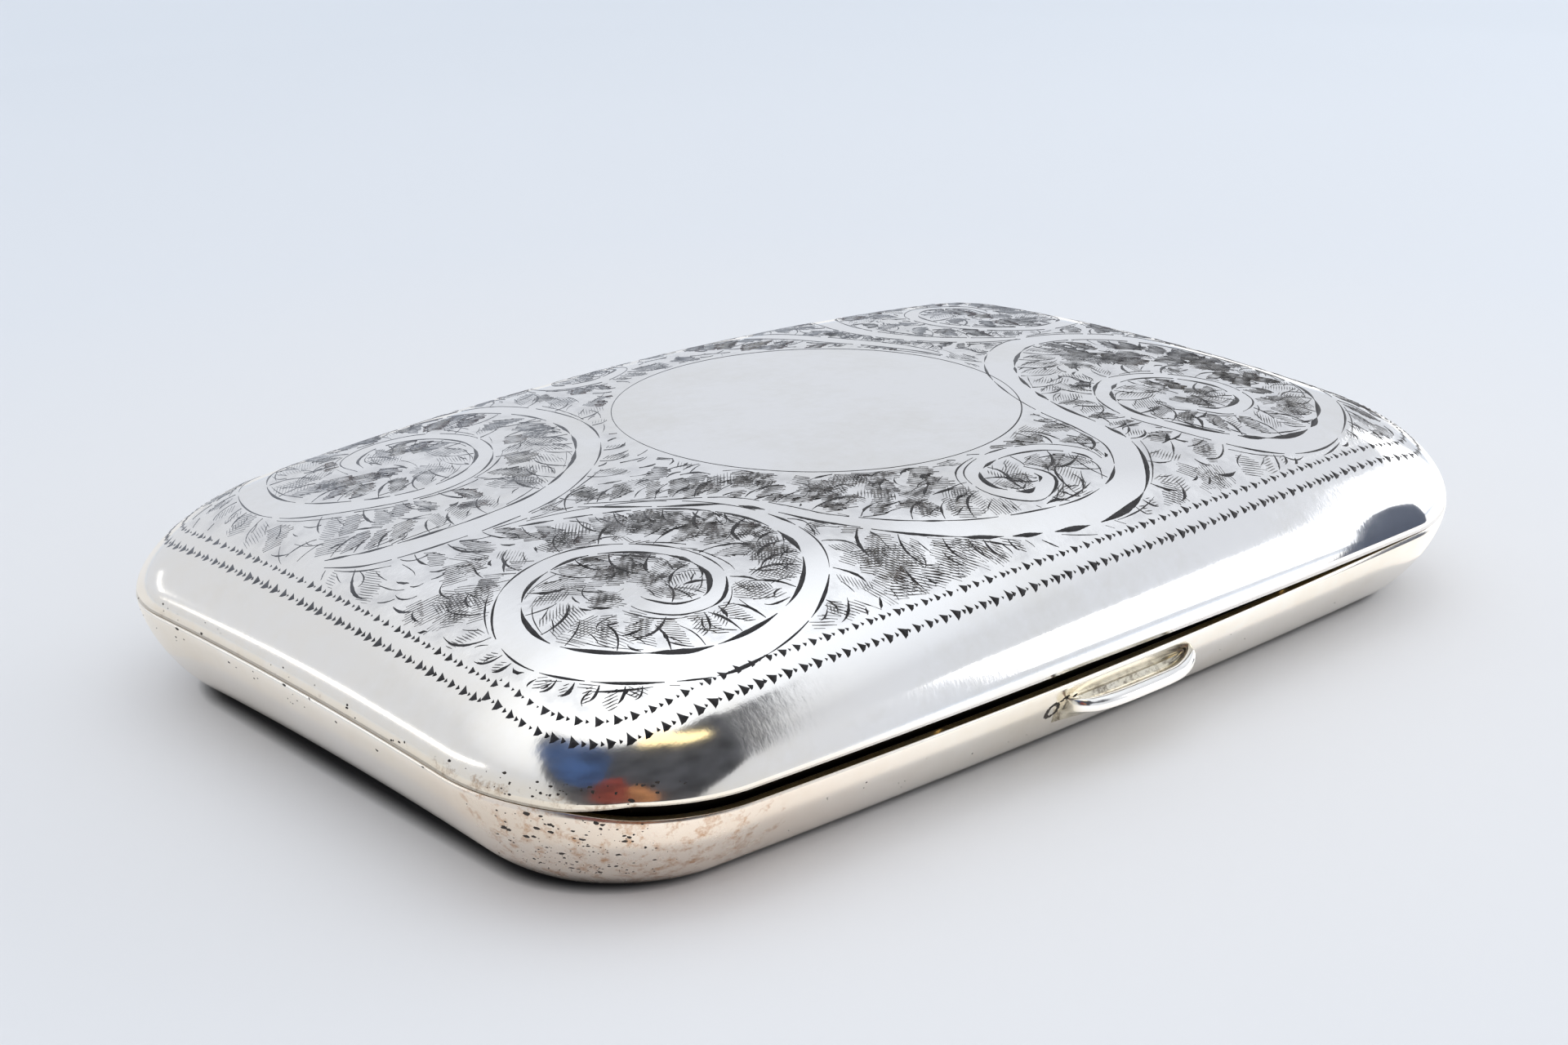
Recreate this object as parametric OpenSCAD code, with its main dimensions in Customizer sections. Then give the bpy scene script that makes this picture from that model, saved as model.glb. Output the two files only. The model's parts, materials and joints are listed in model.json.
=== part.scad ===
// Curved silver card case: two thin pillow-shaped shells, joined along the back by a
// seven-knuckle hinge. Each shell is one closed surface worked out from the outline below.
// X runs along the case, the thumb piece faces -Y, the hinge is at +Y, and Z is up.

/* [Outline] */
// Half of the case's length, without the swell of its ends
half_l = 48; // [46:0.5:50]
// Half of the case's width, without the swell of its front
half_w = 31.7; // [30.5:0.1:33]
// Corner radius in plan
corner_r = 13.5; // [12.5:0.5:14.5]
// How far each short end swells out at its middle
end_swell = 0.4; // [0:0.1:0.8]
// How far the front swells out at its middle
front_swell = 1.5; // [0.8:0.1:2]
// Radius of the bow across the case, which fits it to a pocket
bow_r = 340; // [300:10:400]
// Thickness of the silver sheet
wall = 0.6; // [0.5:0.05:0.7]

/* [Lid] */
// Height of the lid's flanks above the seam
lid_h = 5.7; // [5:0.1:6.5]
// Extra rise of the lid's middle over its short ends
crown_l = 3.4; // [2.5:0.1:4]
// Extra rise of the lid's middle over its long sides
crown_w = 0.5; // [0.2:0.1:1]
// Roundness of the lid's edge, where 2 is a true ellipse
lid_round = 1.9; // [1.8:0.05:2.1]

/* [Base] */
// Depth of the base below the seam
base_h = 8; // [7.5:0.1:8.5]
// Width of the base's rounded edge
base_roll = 6; // [5.5:0.1:6.5]
// Roundness of the base's edge, where 2 is a true ellipse
base_round = 1.5; // [1.4:0.05:1.7]
// Half width at which the bowed underside turns into its two flat resting strips
land_y = 23.4; // [22.5:0.1:24]

/* [Seam] */
// Widest opening of the strained seam along the front
seam_gap = 0.9; // [0.3:0.1:1]
// Clearance between the two rims everywhere else
rim_clear = 0.1; // [0.08:0.01:0.15]
// Height of the base's inner frame above the seam
frame_proud = 0.9; // [0.6:0.1:1]

/* [Hinge] */
// Number of hinge knuckles, odd so that both ends belong to the base
knuckles = 7; // [5:2:9]
// Length of the whole row of knuckles
hinge_l = 63; // [60:1:64]
// Outer radius of a knuckle
knuckle_r = 1.2; // [1.1:0.05:1.3]
// Radius of the hinge pin
pin_r = 0.5; // [0.4:0.05:0.6]
// Running clearance between the pin and its bore
pin_clear = 0.05; // [0.02:0.01:0.08]

/* [Thumb piece] */
// Length of the thumb piece along the front
thumb_l = 13; // [11:0.5:15]
// How far the thumb piece stands out from the front
thumb_out = 1.7; // [1.4:0.1:2]

/* [Card band] */
// Width of the elastic band
band_w = 10; // [8:0.5:12]
// Thickness of the elastic band
band_t = 0.7; // [0.5:0.1:0.8]
// Radius of the wire bars that the band is looped on
bar_r = 0.4; // [0.35:0.05:0.45]

/* [Hidden] */
$fn = 48;

// Colours
silver = "#c9ccd1";
bright_silver = "#dcdee2";
gilt = "#d2b068";
steel = "#8c8f94";
webbing = "#3a2f2a";

// Steps of the shells' grids
long_steps = 14;
end_steps = 8;
corner_steps = 8;
lid_rings = [0, 0.02, 0.06, 0.13, 0.23, 0.36, 0.52, 0.72, 1];
base_rings = [0, 0.04, 0.12, 0.25, 0.42, 0.65, 1];
lid_floor_rings = [0.78, 0.52, 0.26];
base_floor_rings = [0.91, 0.68, 0.4];

// Main levels and lengths
lid_roll = corner_r - 0.2;
land_drop = land_y * land_y / (2 * bow_r);
seam_z = base_h + land_drop;
side_l = half_l - corner_r;
side_w = half_w - corner_r;
front_y = -half_w - front_swell;

// Hinge: its axis lies just behind the back wall, at the height of the seam there
hinge_y = half_w + 0.15;
hinge_z = seam_z - half_w * half_w / (2 * bow_r);
knuckle_pitch = hinge_l / knuckles;
knuckle_gap = 0.06;
cap_l = 0.6;
notch_half = hinge_l / 2 + cap_l + 0.4;
notch_ramp = 0.4;
notch_h = knuckle_r + 0.15;
bearer_in = 2.3;
bearer_half = notch_half - 0.1;
bearer_deep = 2.4;
bearer_gap = 0.1;
bearer_relief = 0.12;
base_step_in = 1.35;
base_setback = 0.3;
lid_step_in = 1.4;
lid_setback = 0.2;
solder = 0.02;
cap_rim = 0.15;

// Frames: strips inside the two rims
frame_t = 0.5;
frame_drop = 1.5;
frame_clear = 0.35;
lid_frame_low = 1.3;
lid_frame_high = 2.4;

// Where the strained seam starts and ends along the front
gap_start = -45;
gap_full = -42;
gap_taper = -5;
gap_end = 36;

// Card band and its bars
bar_z = seam_z - 2.2;
bar_half = band_w / 2 + 1;
bar_front_y = front_y + 2.9;
bar_back_y = half_w - bearer_in - 1.3;
bar_sink = 0.3;
loop_r = bar_r + 0.05;

// Catch pips on the base's frame
pip_r = 0.36;
pip_x = 18;
pip_up = 0.5;
pip_sink = 0.22;

// The thumb piece's arc in plan passes through its two ends and its foremost point
thumb_arc_r = (thumb_l * thumb_l / 4 + thumb_out * thumb_out) / (2 * thumb_out);
thumb_arc_y = front_y - thumb_out + thumb_arc_r;
thumb_low = seam_z - 5.4;
thumb_tip = seam_z - 2.7;
thumb_reach = 3;
thumb_lip_r = 0.2;
scoop_w = 1.5;
scoop_deep = 0.9;

// Shift that puts the origin under the middle of the whole case, thumb piece and hinge included
y_mid = (thumb_out - front_y - hinge_y - knuckle_r) / 2;

// ---- The surface of the case ----

// Height share of a rounded edge, from 0 at the rim to 1 where it meets the flat
function edge(t, n) = pow(1 - pow(1 - t, n), 1 / n);

// Position share at which a rounded edge reaches the given share of its height
function edge_inverse(share, n) = 1 - pow(1 - pow(share, n), 1 / n);

// Height of the seam over the case's width
function seam(y) = seam_z - y * y / (2 * bow_r);

// Heights of the finished lid and underside, away from their rounded edges
function lid_top(x, y) = seam(y) + lid_h + crown_l * (1 - pow(x / half_l, 2))
    + crown_w * (1 - pow(y / half_w, 2));
function base_bottom(y) = land_drop - pow(min(abs(y), land_y), 2) / (2 * bow_r);

// A station of the outline is [x, y, outward normal x, outward normal y]
function swell(s) = [
    s[0] + sign(s[0]) * end_swell * (1 - pow(s[1] / half_w, 2)) * abs(s[2]),
    s[1] - front_swell * (1 - pow(s[0] / half_l, 2)) * max(0, -s[3]),
    s[2], s[3]];
function corner(cx, cy, start) = [for (i = [0:corner_steps - 1])
    let (a = start + 90 * i / corner_steps)
    [cx + corner_r * cos(a), cy + corner_r * sin(a), cos(a), sin(a)]];
back_x = concat([side_l, notch_half + notch_ramp],
    [for (i = [0:long_steps]) notch_half * (1 - 2 * i / long_steps)],
    [-notch_half - notch_ramp]);
front_stations = [for (i = [0:long_steps - 1]) [-side_l + 2 * side_l * i / long_steps,
    -half_w, 0, -1]];
right_stations = [for (i = [0:end_steps - 1]) [half_l, -side_w + 2 * side_w * i / end_steps, 1, 0]];
back_stations = [for (x = back_x) [x, half_w, 0, 1]];
left_stations = [for (i = [0:end_steps - 1]) [-half_l, side_w - 2 * side_w * i / end_steps, -1, 0]];
left_part = concat(corner(-side_l, side_w, 90), left_stations, corner(-side_l, -side_w, 180));
right_part = concat(corner(side_l, -side_w, -90), right_stations, corner(side_l, side_w, 0));
outline = [for (s = concat(front_stations, right_part, back_stations, left_part)) swell(s)];
frame_line = [for (s = concat(left_part, front_stations, right_part)) swell(s)];

// A station moved straight inward
function inward(s, d) = [s[0] - s[2] * d, s[1] - s[3] * d];

function clamp01(v) = max(0, min(1, v));

// Opening of the seam at a station: full along the left of the front, closing to the right
function front_gap(s) = s[3] > -0.2 ? 0 : seam_gap
    * clamp01((s[0] - gap_start) / (gap_full - gap_start))
    * clamp01((gap_end - s[0]) / (gap_end - gap_taper));

// Height of the cut-out for the hinge at a station
function hinge_notch(s) = s[3] > 0.9 && abs(s[0]) < notch_half + notch_ramp / 2
    ? notch_h : 0;

function lid_trim(s) = max(hinge_notch(s), rim_clear + front_gap(s) * 0.6);
function base_trim(s) = max(hinge_notch(s), front_gap(s) * 0.4);

// One point of the lid's or the base's skin: t runs from the rim to the flat, inset is how
// far this skin lies inside the outer one
function lid_point(s, t, inset) = let (
    total = lid_h + crown_l * (1 - pow(s[0] / half_l, 2)) - inset,
    t0 = edge_inverse(lid_trim(s) / total, lid_round),
    u = t0 + (1 - t0) * t,
    p = inward(s, inset + (lid_roll - inset) * u),
    rim = seam(p[1])
) [p[0], p[1], rim + (lid_top(p[0], p[1]) - inset - rim) * edge(u, lid_round)];
function base_point(s, t, inset) = let (
    total = base_h - inset,
    t0 = edge_inverse(base_trim(s) / total, base_round),
    u = t0 + (1 - t0) * t,
    p = inward(s, inset + (base_roll - inset) * u),
    rim = seam(p[1])
) [p[0], p[1], rim + (base_bottom(p[1]) + inset - rim) * edge(u, base_round)];

// The flat is filled by shrinking its edge towards the middle
function lid_inner(p, k, inset) = [p[0] * k, p[1] * k, lid_top(p[0] * k, p[1] * k) - inset];
function base_inner(p, k, inset) = [p[0] * k, p[1] * k, base_bottom(p[1] * k) + inset];

// Rings of points for a whole skin, from the rim to the innermost ring
function lid_skin(inset) = concat(
    [for (t = lid_rings) [for (s = outline) lid_point(s, t, inset)]],
    [for (k = lid_floor_rings) [for (s = outline) lid_inner(lid_point(s, 1, inset), k, inset)]]);
function base_skin(inset) = concat(
    [for (t = base_rings) [for (s = outline) base_point(s, t, inset)]],
    [for (k = base_floor_rings) [for (s = outline) base_inner(base_point(s, 1, inset), k, inset)]]);

// Triangles between two neighbouring rings of n points, the first starting at index a
function band(a, b, n) = [for (i = [0:n - 1]) let (j = (i + 1) % n)
    each [[a + i, b + i, b + j], [a + i, b + j, a + j]]];
function flipped(faces) = [for (f = faces) [f[2], f[1], f[0]]];

// Closed sheet from an outer and an inner skin with the same rings; up is true for a dome
module sheet(outer, inner, outer_mid, inner_mid, up) {
    n = len(outline);
    rings = len(outer);
    inner_start = rings * n;
    mid = 2 * rings * n;
    outer_faces = concat([for (r = [0:rings - 2]) each band((r + 1) * n, r * n, n)],
        [for (i = [0:n - 1]) [mid, (rings - 1) * n + i, (rings - 1) * n + (i + 1) % n]]);
    inner_faces = concat(
        [for (r = [0:rings - 2])
            each band(inner_start + r * n, inner_start + (r + 1) * n, n)],
        [for (i = [0:n - 1]) [mid + 1, inner_start + (rings - 1) * n + (i + 1) % n,
            inner_start + (rings - 1) * n + i]]);
    rim_faces = band(0, inner_start, n);
    faces = concat(outer_faces, inner_faces, rim_faces);
    polyhedron(points = concat([for (r = outer) each r], [for (r = inner) each r],
        [outer_mid, inner_mid]), faces = up ? flipped(faces) : faces);
}

// Closed bar along the frame line, from a closed loop of m points at each station
module swept(loops) {
    n = len(loops);
    m = len(loops[0]);
    sides = [for (r = [0:n - 2]) each band(r * m, (r + 1) * m, m)];
    ends = [for (i = [1:m - 2]) each [[0, i, i + 1],
        [(n - 1) * m, (n - 1) * m + i + 1, (n - 1) * m + i]]];
    polyhedron(points = [for (l = loops) each l], faces = concat(sides, ends));
}

// Moves a sub-part into the frame whose origin is under the middle of the case
module place() {
    translate([0, y_mid, 0]) children();
}

// Rod along X between two places on the hinge axis
module axis_rod(x0, x1, r) {
    translate([x0, hinge_y, hinge_z]) rotate([0, 90, 0]) cylinder(r = r, h = x1 - x0);
}

// ---- Shells ----

module base_shell() {
    color(silver) place()
        sheet(base_skin(0), base_skin(wall), [0, 0, base_bottom(0)],
            [0, 0, base_bottom(0) + wall], false);
}

module lid_shell() {
    color(bright_silver) place()
        sheet(lid_skin(0), lid_skin(wall), [0, 0, lid_top(0, 0)],
            [0, 0, lid_top(0, 0) - wall], true);
}

// ---- Inner frames ----

function at(s, inset, z) = let (p = inward(s, inset)) [p[0], p[1], z];

// Distance inside the outline of each shell's inner face, at a height from the seam
function base_face(h) = wall + (base_roll - wall)
    * edge_inverse(h / (base_h - wall), base_round);
function lid_face(s, h) = wall + (lid_roll - wall)
    * edge_inverse(h / (lid_h + crown_l * (1 - pow(s[0] / half_l, 2)) - wall), lid_round);

module base_frame() {
    in_low = base_face(frame_drop);
    in_top = wall + frame_clear;
    color(gilt) place() swept([for (s = frame_line) let (z = seam(s[1])) [
        at(s, in_low, z - frame_drop),
        at(s, in_top, z - 0.5),
        at(s, in_top, z + frame_proud),
        at(s, in_top + frame_t, z + frame_proud),
        at(s, in_low + frame_t, z - frame_drop)]]);
}

module lid_frame() {
    color(gilt) place() swept([for (s = frame_line) let (z = seam(s[1])) [
        at(s, lid_face(s, lid_frame_low), z + lid_frame_low),
        at(s, lid_face(s, lid_frame_high), z + lid_frame_high),
        at(s, lid_face(s, lid_frame_high) + frame_t, z + lid_frame_high),
        at(s, lid_face(s, lid_frame_low) + frame_t, z + lid_frame_low)]]);
}

// ---- Hinge ----

function is_base(i) = i % 2 == 0;

// Bar inside the back wall, grooved for all the knuckles: its shallow part reaches out
// through the notch, and its deep part keeps step_in clear of the wall
module bearer(up, step_in, setback, own) {
    difference() {
        for (size = [[bearer_in - setback, notch_h], [bearer_in - step_in, bearer_deep]])
            translate([-bearer_half, half_w - bearer_in,
                up ? hinge_z + bearer_gap : hinge_z - size[1]])
                cube([2 * bearer_half, size[0], size[1] - bearer_gap]);
        axis_rod(-bearer_half - 1, bearer_half + 1, knuckle_r - solder);
        for (i = [0:knuckles - 1])
            if (is_base(i) != own)
                axis_rod(knuckle_x(i) - 0.1, knuckle_x(i) + knuckle_pitch + 0.1,
                    knuckle_r + bearer_relief);
        for (side = [-1, 1])
            axis_rod(side > 0 ? hinge_l / 2 - 0.1 : -bearer_half - 1,
                side > 0 ? bearer_half + 1 : -hinge_l / 2 + 0.1, knuckle_r + bearer_relief);
    }
}

module base_hinge_bearer() {
    color(silver) place() bearer(false, base_step_in, base_setback, true);
}

module lid_hinge_bearer() {
    color(silver) place() bearer(true, lid_step_in, lid_setback, false);
}

function knuckle_x(i) = -hinge_l / 2 + i * knuckle_pitch;

module knuckle(i) {
    color(i % 2 == 0 ? silver : bright_silver) place() difference() {
        axis_rod(knuckle_x(i) + knuckle_gap / 2, knuckle_x(i + 1) - knuckle_gap / 2, knuckle_r);
        axis_rod(knuckle_x(i) - 1, knuckle_x(i + 1) + 1, pin_r + pin_clear);
    }
}

module hinge_pin() {
    color(steel) place()
        axis_rod(-hinge_l / 2 + knuckle_gap / 2, hinge_l / 2 - knuckle_gap / 2, pin_r);
}

// Domed plug soldered over an end of the pin
module pin_cap(side) {
    color(silver) place()
        translate([side * (hinge_l / 2 - knuckle_gap / 2), hinge_y, hinge_z])
            rotate([0, side * 90, 0]) rotate_extrude() polygon(concat([[0, 0]],
                [for (a = [0:15:90])
                    [knuckle_r * cos(a), cap_rim + (cap_l - cap_rim) * sin(a)]]));
}

// ---- Fittings ----

// Lip with a scooped top, soldered to the base's front wall
module thumb_piece() {
    drop = thumb_tip - thumb_low;
    inner_r = thumb_arc_r - thumb_reach;
    lower = [for (a = [0:10:90]) [inner_r + thumb_reach * sin(a), thumb_tip - drop * cos(a)]];
    tip = [for (a = [0:30:180]) [thumb_arc_r + thumb_lip_r * (cos(a) - 1),
        thumb_tip + thumb_lip_r * sin(a)]];
    scoop = [for (a = [10:16:90]) [thumb_arc_r - 2 * thumb_lip_r - scoop_w * sin(a),
        thumb_tip - scoop_deep * sin(2 * a)]];
    color(bright_silver) place() intersection() {
        translate([0, thumb_arc_y, 0]) rotate_extrude($fn = 96)
            polygon(concat(lower, tip, scoop, [[inner_r, thumb_tip + 1.2]]));
        rotate([90, 0, 90]) translate([0, 0, -thumb_l / 2]) linear_extrude(thumb_l)
            polygon(concat(
                [for (h = [1:0.5:6]) [front_y + wall_inset(h), seam(front_y) - h]],
                [[front_y - 5, seam(front_y) - 6], [front_y - 5, seam(front_y) - 1]]));
    }
}

// How far the base's outer face has drawn in at a depth below the seam, less a solder film
function wall_inset(h) = base_roll * edge_inverse(h / base_h, base_round) + 0.06;

// Two round pips on the base's frame that hold the lid shut by friction
module catch_pips() {
    color(gilt) place() for (x = [-pip_x, pip_x])
        translate([x, front_y + front_swell * pow(x / half_l, 2) + wall + frame_clear + pip_sink,
            seam(front_y) + pip_up]) sphere(r = pip_r, $fn = 32);
}

// Straight wire with two legs, soldered by its legs; dir points from the wire to its wall
module band_bar(y, dir, leg) {
    color(gilt) place() union() {
        translate([-bar_half, y, bar_z]) rotate([0, 90, 0]) cylinder(r = bar_r, h = 2 * bar_half);
        for (x = [-bar_half, bar_half]) {
            translate([x, y, bar_z]) sphere(r = bar_r);
            translate([x, y, bar_z]) rotate([-dir * 90, 0, 0]) cylinder(r = bar_r, h = leg);
        }
    }
}

module band_bar_front() {
    band_bar(bar_front_y, -1, bar_front_y - front_y - wall - frame_clear - frame_t + bar_sink);
}

module band_bar_back() {
    band_bar(bar_back_y, 1, half_w - bearer_in - bar_back_y + solder);
}

// Elastic band looped over both bars; its sewn loops are plain rings here
module card_band() {
    color(webbing) place() difference() {
        union() {
            for (y = [bar_front_y, bar_back_y])
                translate([-band_w / 2, y, bar_z]) rotate([0, 90, 0])
                    cylinder(r = loop_r + band_t, h = band_w);
            translate([-band_w / 2, bar_front_y, bar_z + loop_r])
                cube([band_w, bar_back_y - bar_front_y, band_t]);
        }
        for (y = [bar_front_y, bar_back_y])
            translate([-band_w, y, bar_z]) rotate([0, 90, 0]) cylinder(r = loop_r, h = 2 * band_w);
    }
}

base_shell();
base_frame();
base_hinge_bearer();
lid_shell();
lid_frame();
lid_hinge_bearer();
knuckle(0);  // base_knuckle_1
knuckle(1);  // lid_knuckle_2
knuckle(2);  // base_knuckle_3
knuckle(3);  // lid_knuckle_4
knuckle(4);  // base_knuckle_5
knuckle(5);  // lid_knuckle_6
knuckle(6);  // base_knuckle_7
hinge_pin();
pin_cap(-1);  // pin_cap_left
pin_cap(1);  // pin_cap_right
thumb_piece();
catch_pips();
band_bar_front();
band_bar_back();
card_band();
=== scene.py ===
import json
import math

import bpy
import numpy as np
from mathutils import Matrix, Vector


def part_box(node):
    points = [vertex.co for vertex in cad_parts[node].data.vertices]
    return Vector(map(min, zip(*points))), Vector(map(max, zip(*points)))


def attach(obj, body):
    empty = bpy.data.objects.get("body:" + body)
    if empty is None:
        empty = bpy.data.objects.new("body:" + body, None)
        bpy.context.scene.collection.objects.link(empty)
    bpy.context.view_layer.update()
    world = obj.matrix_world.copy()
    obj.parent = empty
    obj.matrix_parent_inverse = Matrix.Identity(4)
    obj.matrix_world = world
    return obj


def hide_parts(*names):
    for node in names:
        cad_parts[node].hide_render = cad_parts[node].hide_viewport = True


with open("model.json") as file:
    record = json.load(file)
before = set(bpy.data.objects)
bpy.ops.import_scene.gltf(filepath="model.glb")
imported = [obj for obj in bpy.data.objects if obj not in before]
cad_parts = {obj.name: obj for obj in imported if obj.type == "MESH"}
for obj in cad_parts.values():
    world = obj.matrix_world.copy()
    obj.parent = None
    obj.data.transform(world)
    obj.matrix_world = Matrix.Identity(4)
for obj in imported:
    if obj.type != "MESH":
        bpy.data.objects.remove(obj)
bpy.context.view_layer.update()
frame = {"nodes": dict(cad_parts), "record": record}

MM = 0.001
rng = np.random.default_rng(11)

# ---- The case's own dimensions, in millimetres, as in the CAD model ----
HALF_L, HALF_W, CORNER_R = 48.0, 31.7, 13.5
END_SWELL, FRONT_SWELL, BOW_R, WALL = 0.4, 1.5, 340.0, 0.6
LID_H, CROWN_L, CROWN_W, LID_ROUND, LID_ROLL = 5.7, 3.4, 0.5, 1.9, 13.3
BASE_H, BASE_ROLL, BASE_ROUND, LAND_Y = 8.0, 6.0, 1.5, 23.4
SEAM_GAP, RIM_CLEAR, LID_GAP_SHARE = 0.9, 0.1, 0.6
GAP_START, GAP_FULL, GAP_TAPER, GAP_END = -45.0, -42.0, -5.0, 36.0
NOTCH_HALF, NOTCH_RAMP, NOTCH_H = 32.5, 0.4, 1.35
HINGE_Y = HALF_W + 0.15
SIDE_L, SIDE_W = HALF_L - CORNER_R, HALF_W - CORNER_R
LAND_DROP = LAND_Y ** 2 / (2 * BOW_R)
SEAM_Z = BASE_H + LAND_DROP
# The case's middle line in the shared frame, from the hinge that the record places
Y_MID = frame["record"]["behaviour"]["joints"][0]["pos_m"][1] / MM - HINGE_Y


def edge(t, n):
    """Height share of a rounded edge at the share t of its reach: 0 at the rim, 1 where it turns flat."""
    return (1 - (1 - np.clip(t, 0, 1)) ** n) ** (1 / n)


def edge_inverse(share, n):
    return 1 - (1 - np.clip(share, 0, 1) ** n) ** (1 / n)


def seam(y):
    """Height of the seam, which bows down toward the front and the back."""
    return SEAM_Z - y ** 2 / (2 * BOW_R)


def lid_top(x, y):
    return seam(y) + LID_H + CROWN_L * (1 - (x / HALF_L) ** 2) + CROWN_W * (1 - (y / HALF_W) ** 2)


def base_bottom(y):
    return LAND_DROP - np.minimum(np.abs(y), LAND_Y) ** 2 / (2 * BOW_R)


def swelled(s):
    """Outline stations (x, y, outward normal) with the swell of the ends and the front."""
    out = s.copy()
    out[:, 0] += np.sign(s[:, 0]) * END_SWELL * (1 - (s[:, 1] / HALF_W) ** 2) * np.abs(s[:, 2])
    out[:, 1] -= FRONT_SWELL * (1 - (s[:, 0] / HALF_L) ** 2) * np.maximum(0, -s[:, 3])
    return out


def outline(step):
    """Closed line of stations round the case, counterclockwise from the left end of the front."""
    def straight(xs, ys, nx, ny):
        return np.column_stack([xs + 0 * ys, ys + 0 * xs, 0 * xs + 0 * ys + nx, 0 * xs + 0 * ys + ny])

    def run(a, b):
        return np.linspace(a, b, max(1, round(abs(b - a) / step)), endpoint=False)

    def corner(cx, cy, start):
        a = np.radians(start + run(0, math.pi / 2 * CORNER_R) / CORNER_R * 180 / math.pi)
        return np.column_stack([cx + CORNER_R * np.cos(a), cy + CORNER_R * np.sin(a), np.cos(a), np.sin(a)])

    ramp = NOTCH_HALF + NOTCH_RAMP
    ends = [SIDE_L, ramp, NOTCH_HALF, -NOTCH_HALF, -ramp, -SIDE_L]
    back = np.concatenate([run(a, b) for a, b in zip(ends, ends[1:])])
    return swelled(np.vstack([
        straight(run(-SIDE_L, SIDE_L), np.array(-HALF_W), 0, -1), corner(SIDE_L, -SIDE_W, -90),
        straight(np.array(HALF_L), run(-SIDE_W, SIDE_W), 1, 0), corner(SIDE_L, SIDE_W, 0),
        straight(back, np.array(HALF_W), 0, 1), corner(-SIDE_L, SIDE_W, 90),
        straight(np.array(-HALF_L), run(SIDE_W, -SIDE_W), -1, 0), corner(-SIDE_L, -SIDE_W, 180)]))


def front_gap(s):
    """How far the seam stands open along the front, widest at the left."""
    opening = (np.clip((s[:, 0] - GAP_START) / (GAP_FULL - GAP_START), 0, 1)
               * np.clip((GAP_END - s[:, 0]) / (GAP_END - GAP_TAPER), 0, 1))
    return np.where(s[:, 3] > -0.2, 0, SEAM_GAP * opening)


def hinge_notch(s):
    """How far the rims are cut back for the hinge."""
    return np.where((s[:, 3] > 0.9) & (np.abs(s[:, 0]) < NOTCH_HALF + NOTCH_RAMP / 2), NOTCH_H, 0)


def lid_point(s, t, inset):
    """The lid's skin at stations s: t runs from the rim to the flat, inset lies inside the outer skin."""
    rim_trim = np.maximum(hinge_notch(s), RIM_CLEAR + front_gap(s) * LID_GAP_SHARE)
    total = LID_H + CROWN_L * (1 - (s[:, 0] / HALF_L) ** 2) - inset
    t0 = edge_inverse(rim_trim / total, LID_ROUND)
    u = t0 + (1 - t0) * t
    p = s[:, :2] - s[:, 2:] * (inset + (LID_ROLL - inset) * u)[:, None]
    z = seam(p[:, 1]) + (lid_top(p[:, 0], p[:, 1]) - inset - seam(p[:, 1])) * edge(u, LID_ROUND)
    return np.column_stack([p, z])


def base_point(s, t, inset):
    """The base's skin, as in lid_point."""
    rim_trim = np.maximum(hinge_notch(s), front_gap(s) * (1 - LID_GAP_SHARE))
    t0 = edge_inverse(rim_trim / (BASE_H - inset), BASE_ROUND)
    u = t0 + (1 - t0) * t
    p = s[:, :2] - s[:, 2:] * (inset + (BASE_ROLL - inset) * u)[:, None]
    z = seam(p[:, 1]) + (base_bottom(p[:, 1]) + inset - seam(p[:, 1])) * edge(u, BASE_ROUND)
    return np.column_stack([p, z])


def outline_depth(x, y):
    """How far points of the plan lie inside the outline, measured along its normal."""
    sx, sy = np.where(x < 0, -1.0, 1.0), np.where(y < 0, -1.0, 1.0)
    ax, ay = np.zeros_like(x), np.zeros_like(y)
    for _ in range(4):
        qx, qy = np.abs(x - ax), np.abs(y - ay)
        vx, vy = np.maximum(qx - SIDE_L, 0), np.maximum(qy - SIDE_W, 0)
        r = np.maximum(np.hypot(vx, vy), 1e-6)
        in_corner = (vx > 0) & (vy > 0)
        end = HALF_L - qx < HALF_W - qy
        nx = np.where(in_corner, vx / r, np.where(end, 1.0, 0.0))
        ny = np.where(in_corner, vy / r, np.where(end, 0.0, 1.0))
        depth = np.where(in_corner, CORNER_R - r, np.minimum(HALF_L - qx, HALF_W - qy))
        px, py = qx + nx * depth, qy + ny * depth
        ax = sx * END_SWELL * (1 - (py / HALF_W) ** 2) * nx
        ay = np.where(sy < 0, -FRONT_SWELL * (1 - (px / HALF_L) ** 2) * ny, 0.0)
    return depth


def lid_height(x, y):
    """Height of the lid's outer skin over points of the plan."""
    u = outline_depth(x, y) / LID_ROLL
    return seam(y) + (lid_top(x, y) - seam(y)) * edge(u, LID_ROUND)


# ---- Mesh helpers ----

def new_object(name, verts, faces, materials, body, face_material=None, smooth=True):
    """A mesh object from points in millimetres about the case's middle line."""
    me = bpy.data.meshes.new(name)
    pts = (np.asarray(verts, float) + (0, Y_MID, 0)) * MM
    me.from_pydata(pts.tolist(), [], [tuple(map(int, f)) for f in faces])
    me.update()
    for m in materials:
        me.materials.append(m)
    if face_material is not None:
        me.polygons.foreach_set("material_index", np.asarray(face_material, np.int32))
    me.polygons.foreach_set("use_smooth", np.full(len(me.polygons), smooth))
    o = bpy.data.objects.new(name, me)
    bpy.context.scene.collection.objects.link(o)
    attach(o, body)
    return o


def ring_faces(a, b, n):
    """Quads between two rings of n points that start at indices a and b."""
    i = np.arange(n)
    j = (i + 1) % n
    return np.column_stack([a + i, a + j, b + j, b + i])


def tube_faces(start, ring_count, n):
    """Faces of a closed tube of rings of n points that start at an index: the sides, then both ends."""
    sides = np.vstack([ring_faces(start + r * n, start + (r + 1) * n, n) for r in range(ring_count - 1)])
    last = start + (ring_count - 1) * n
    return sides.tolist() + [range(start, start + n)[::-1], range(last, last + n)]


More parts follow.
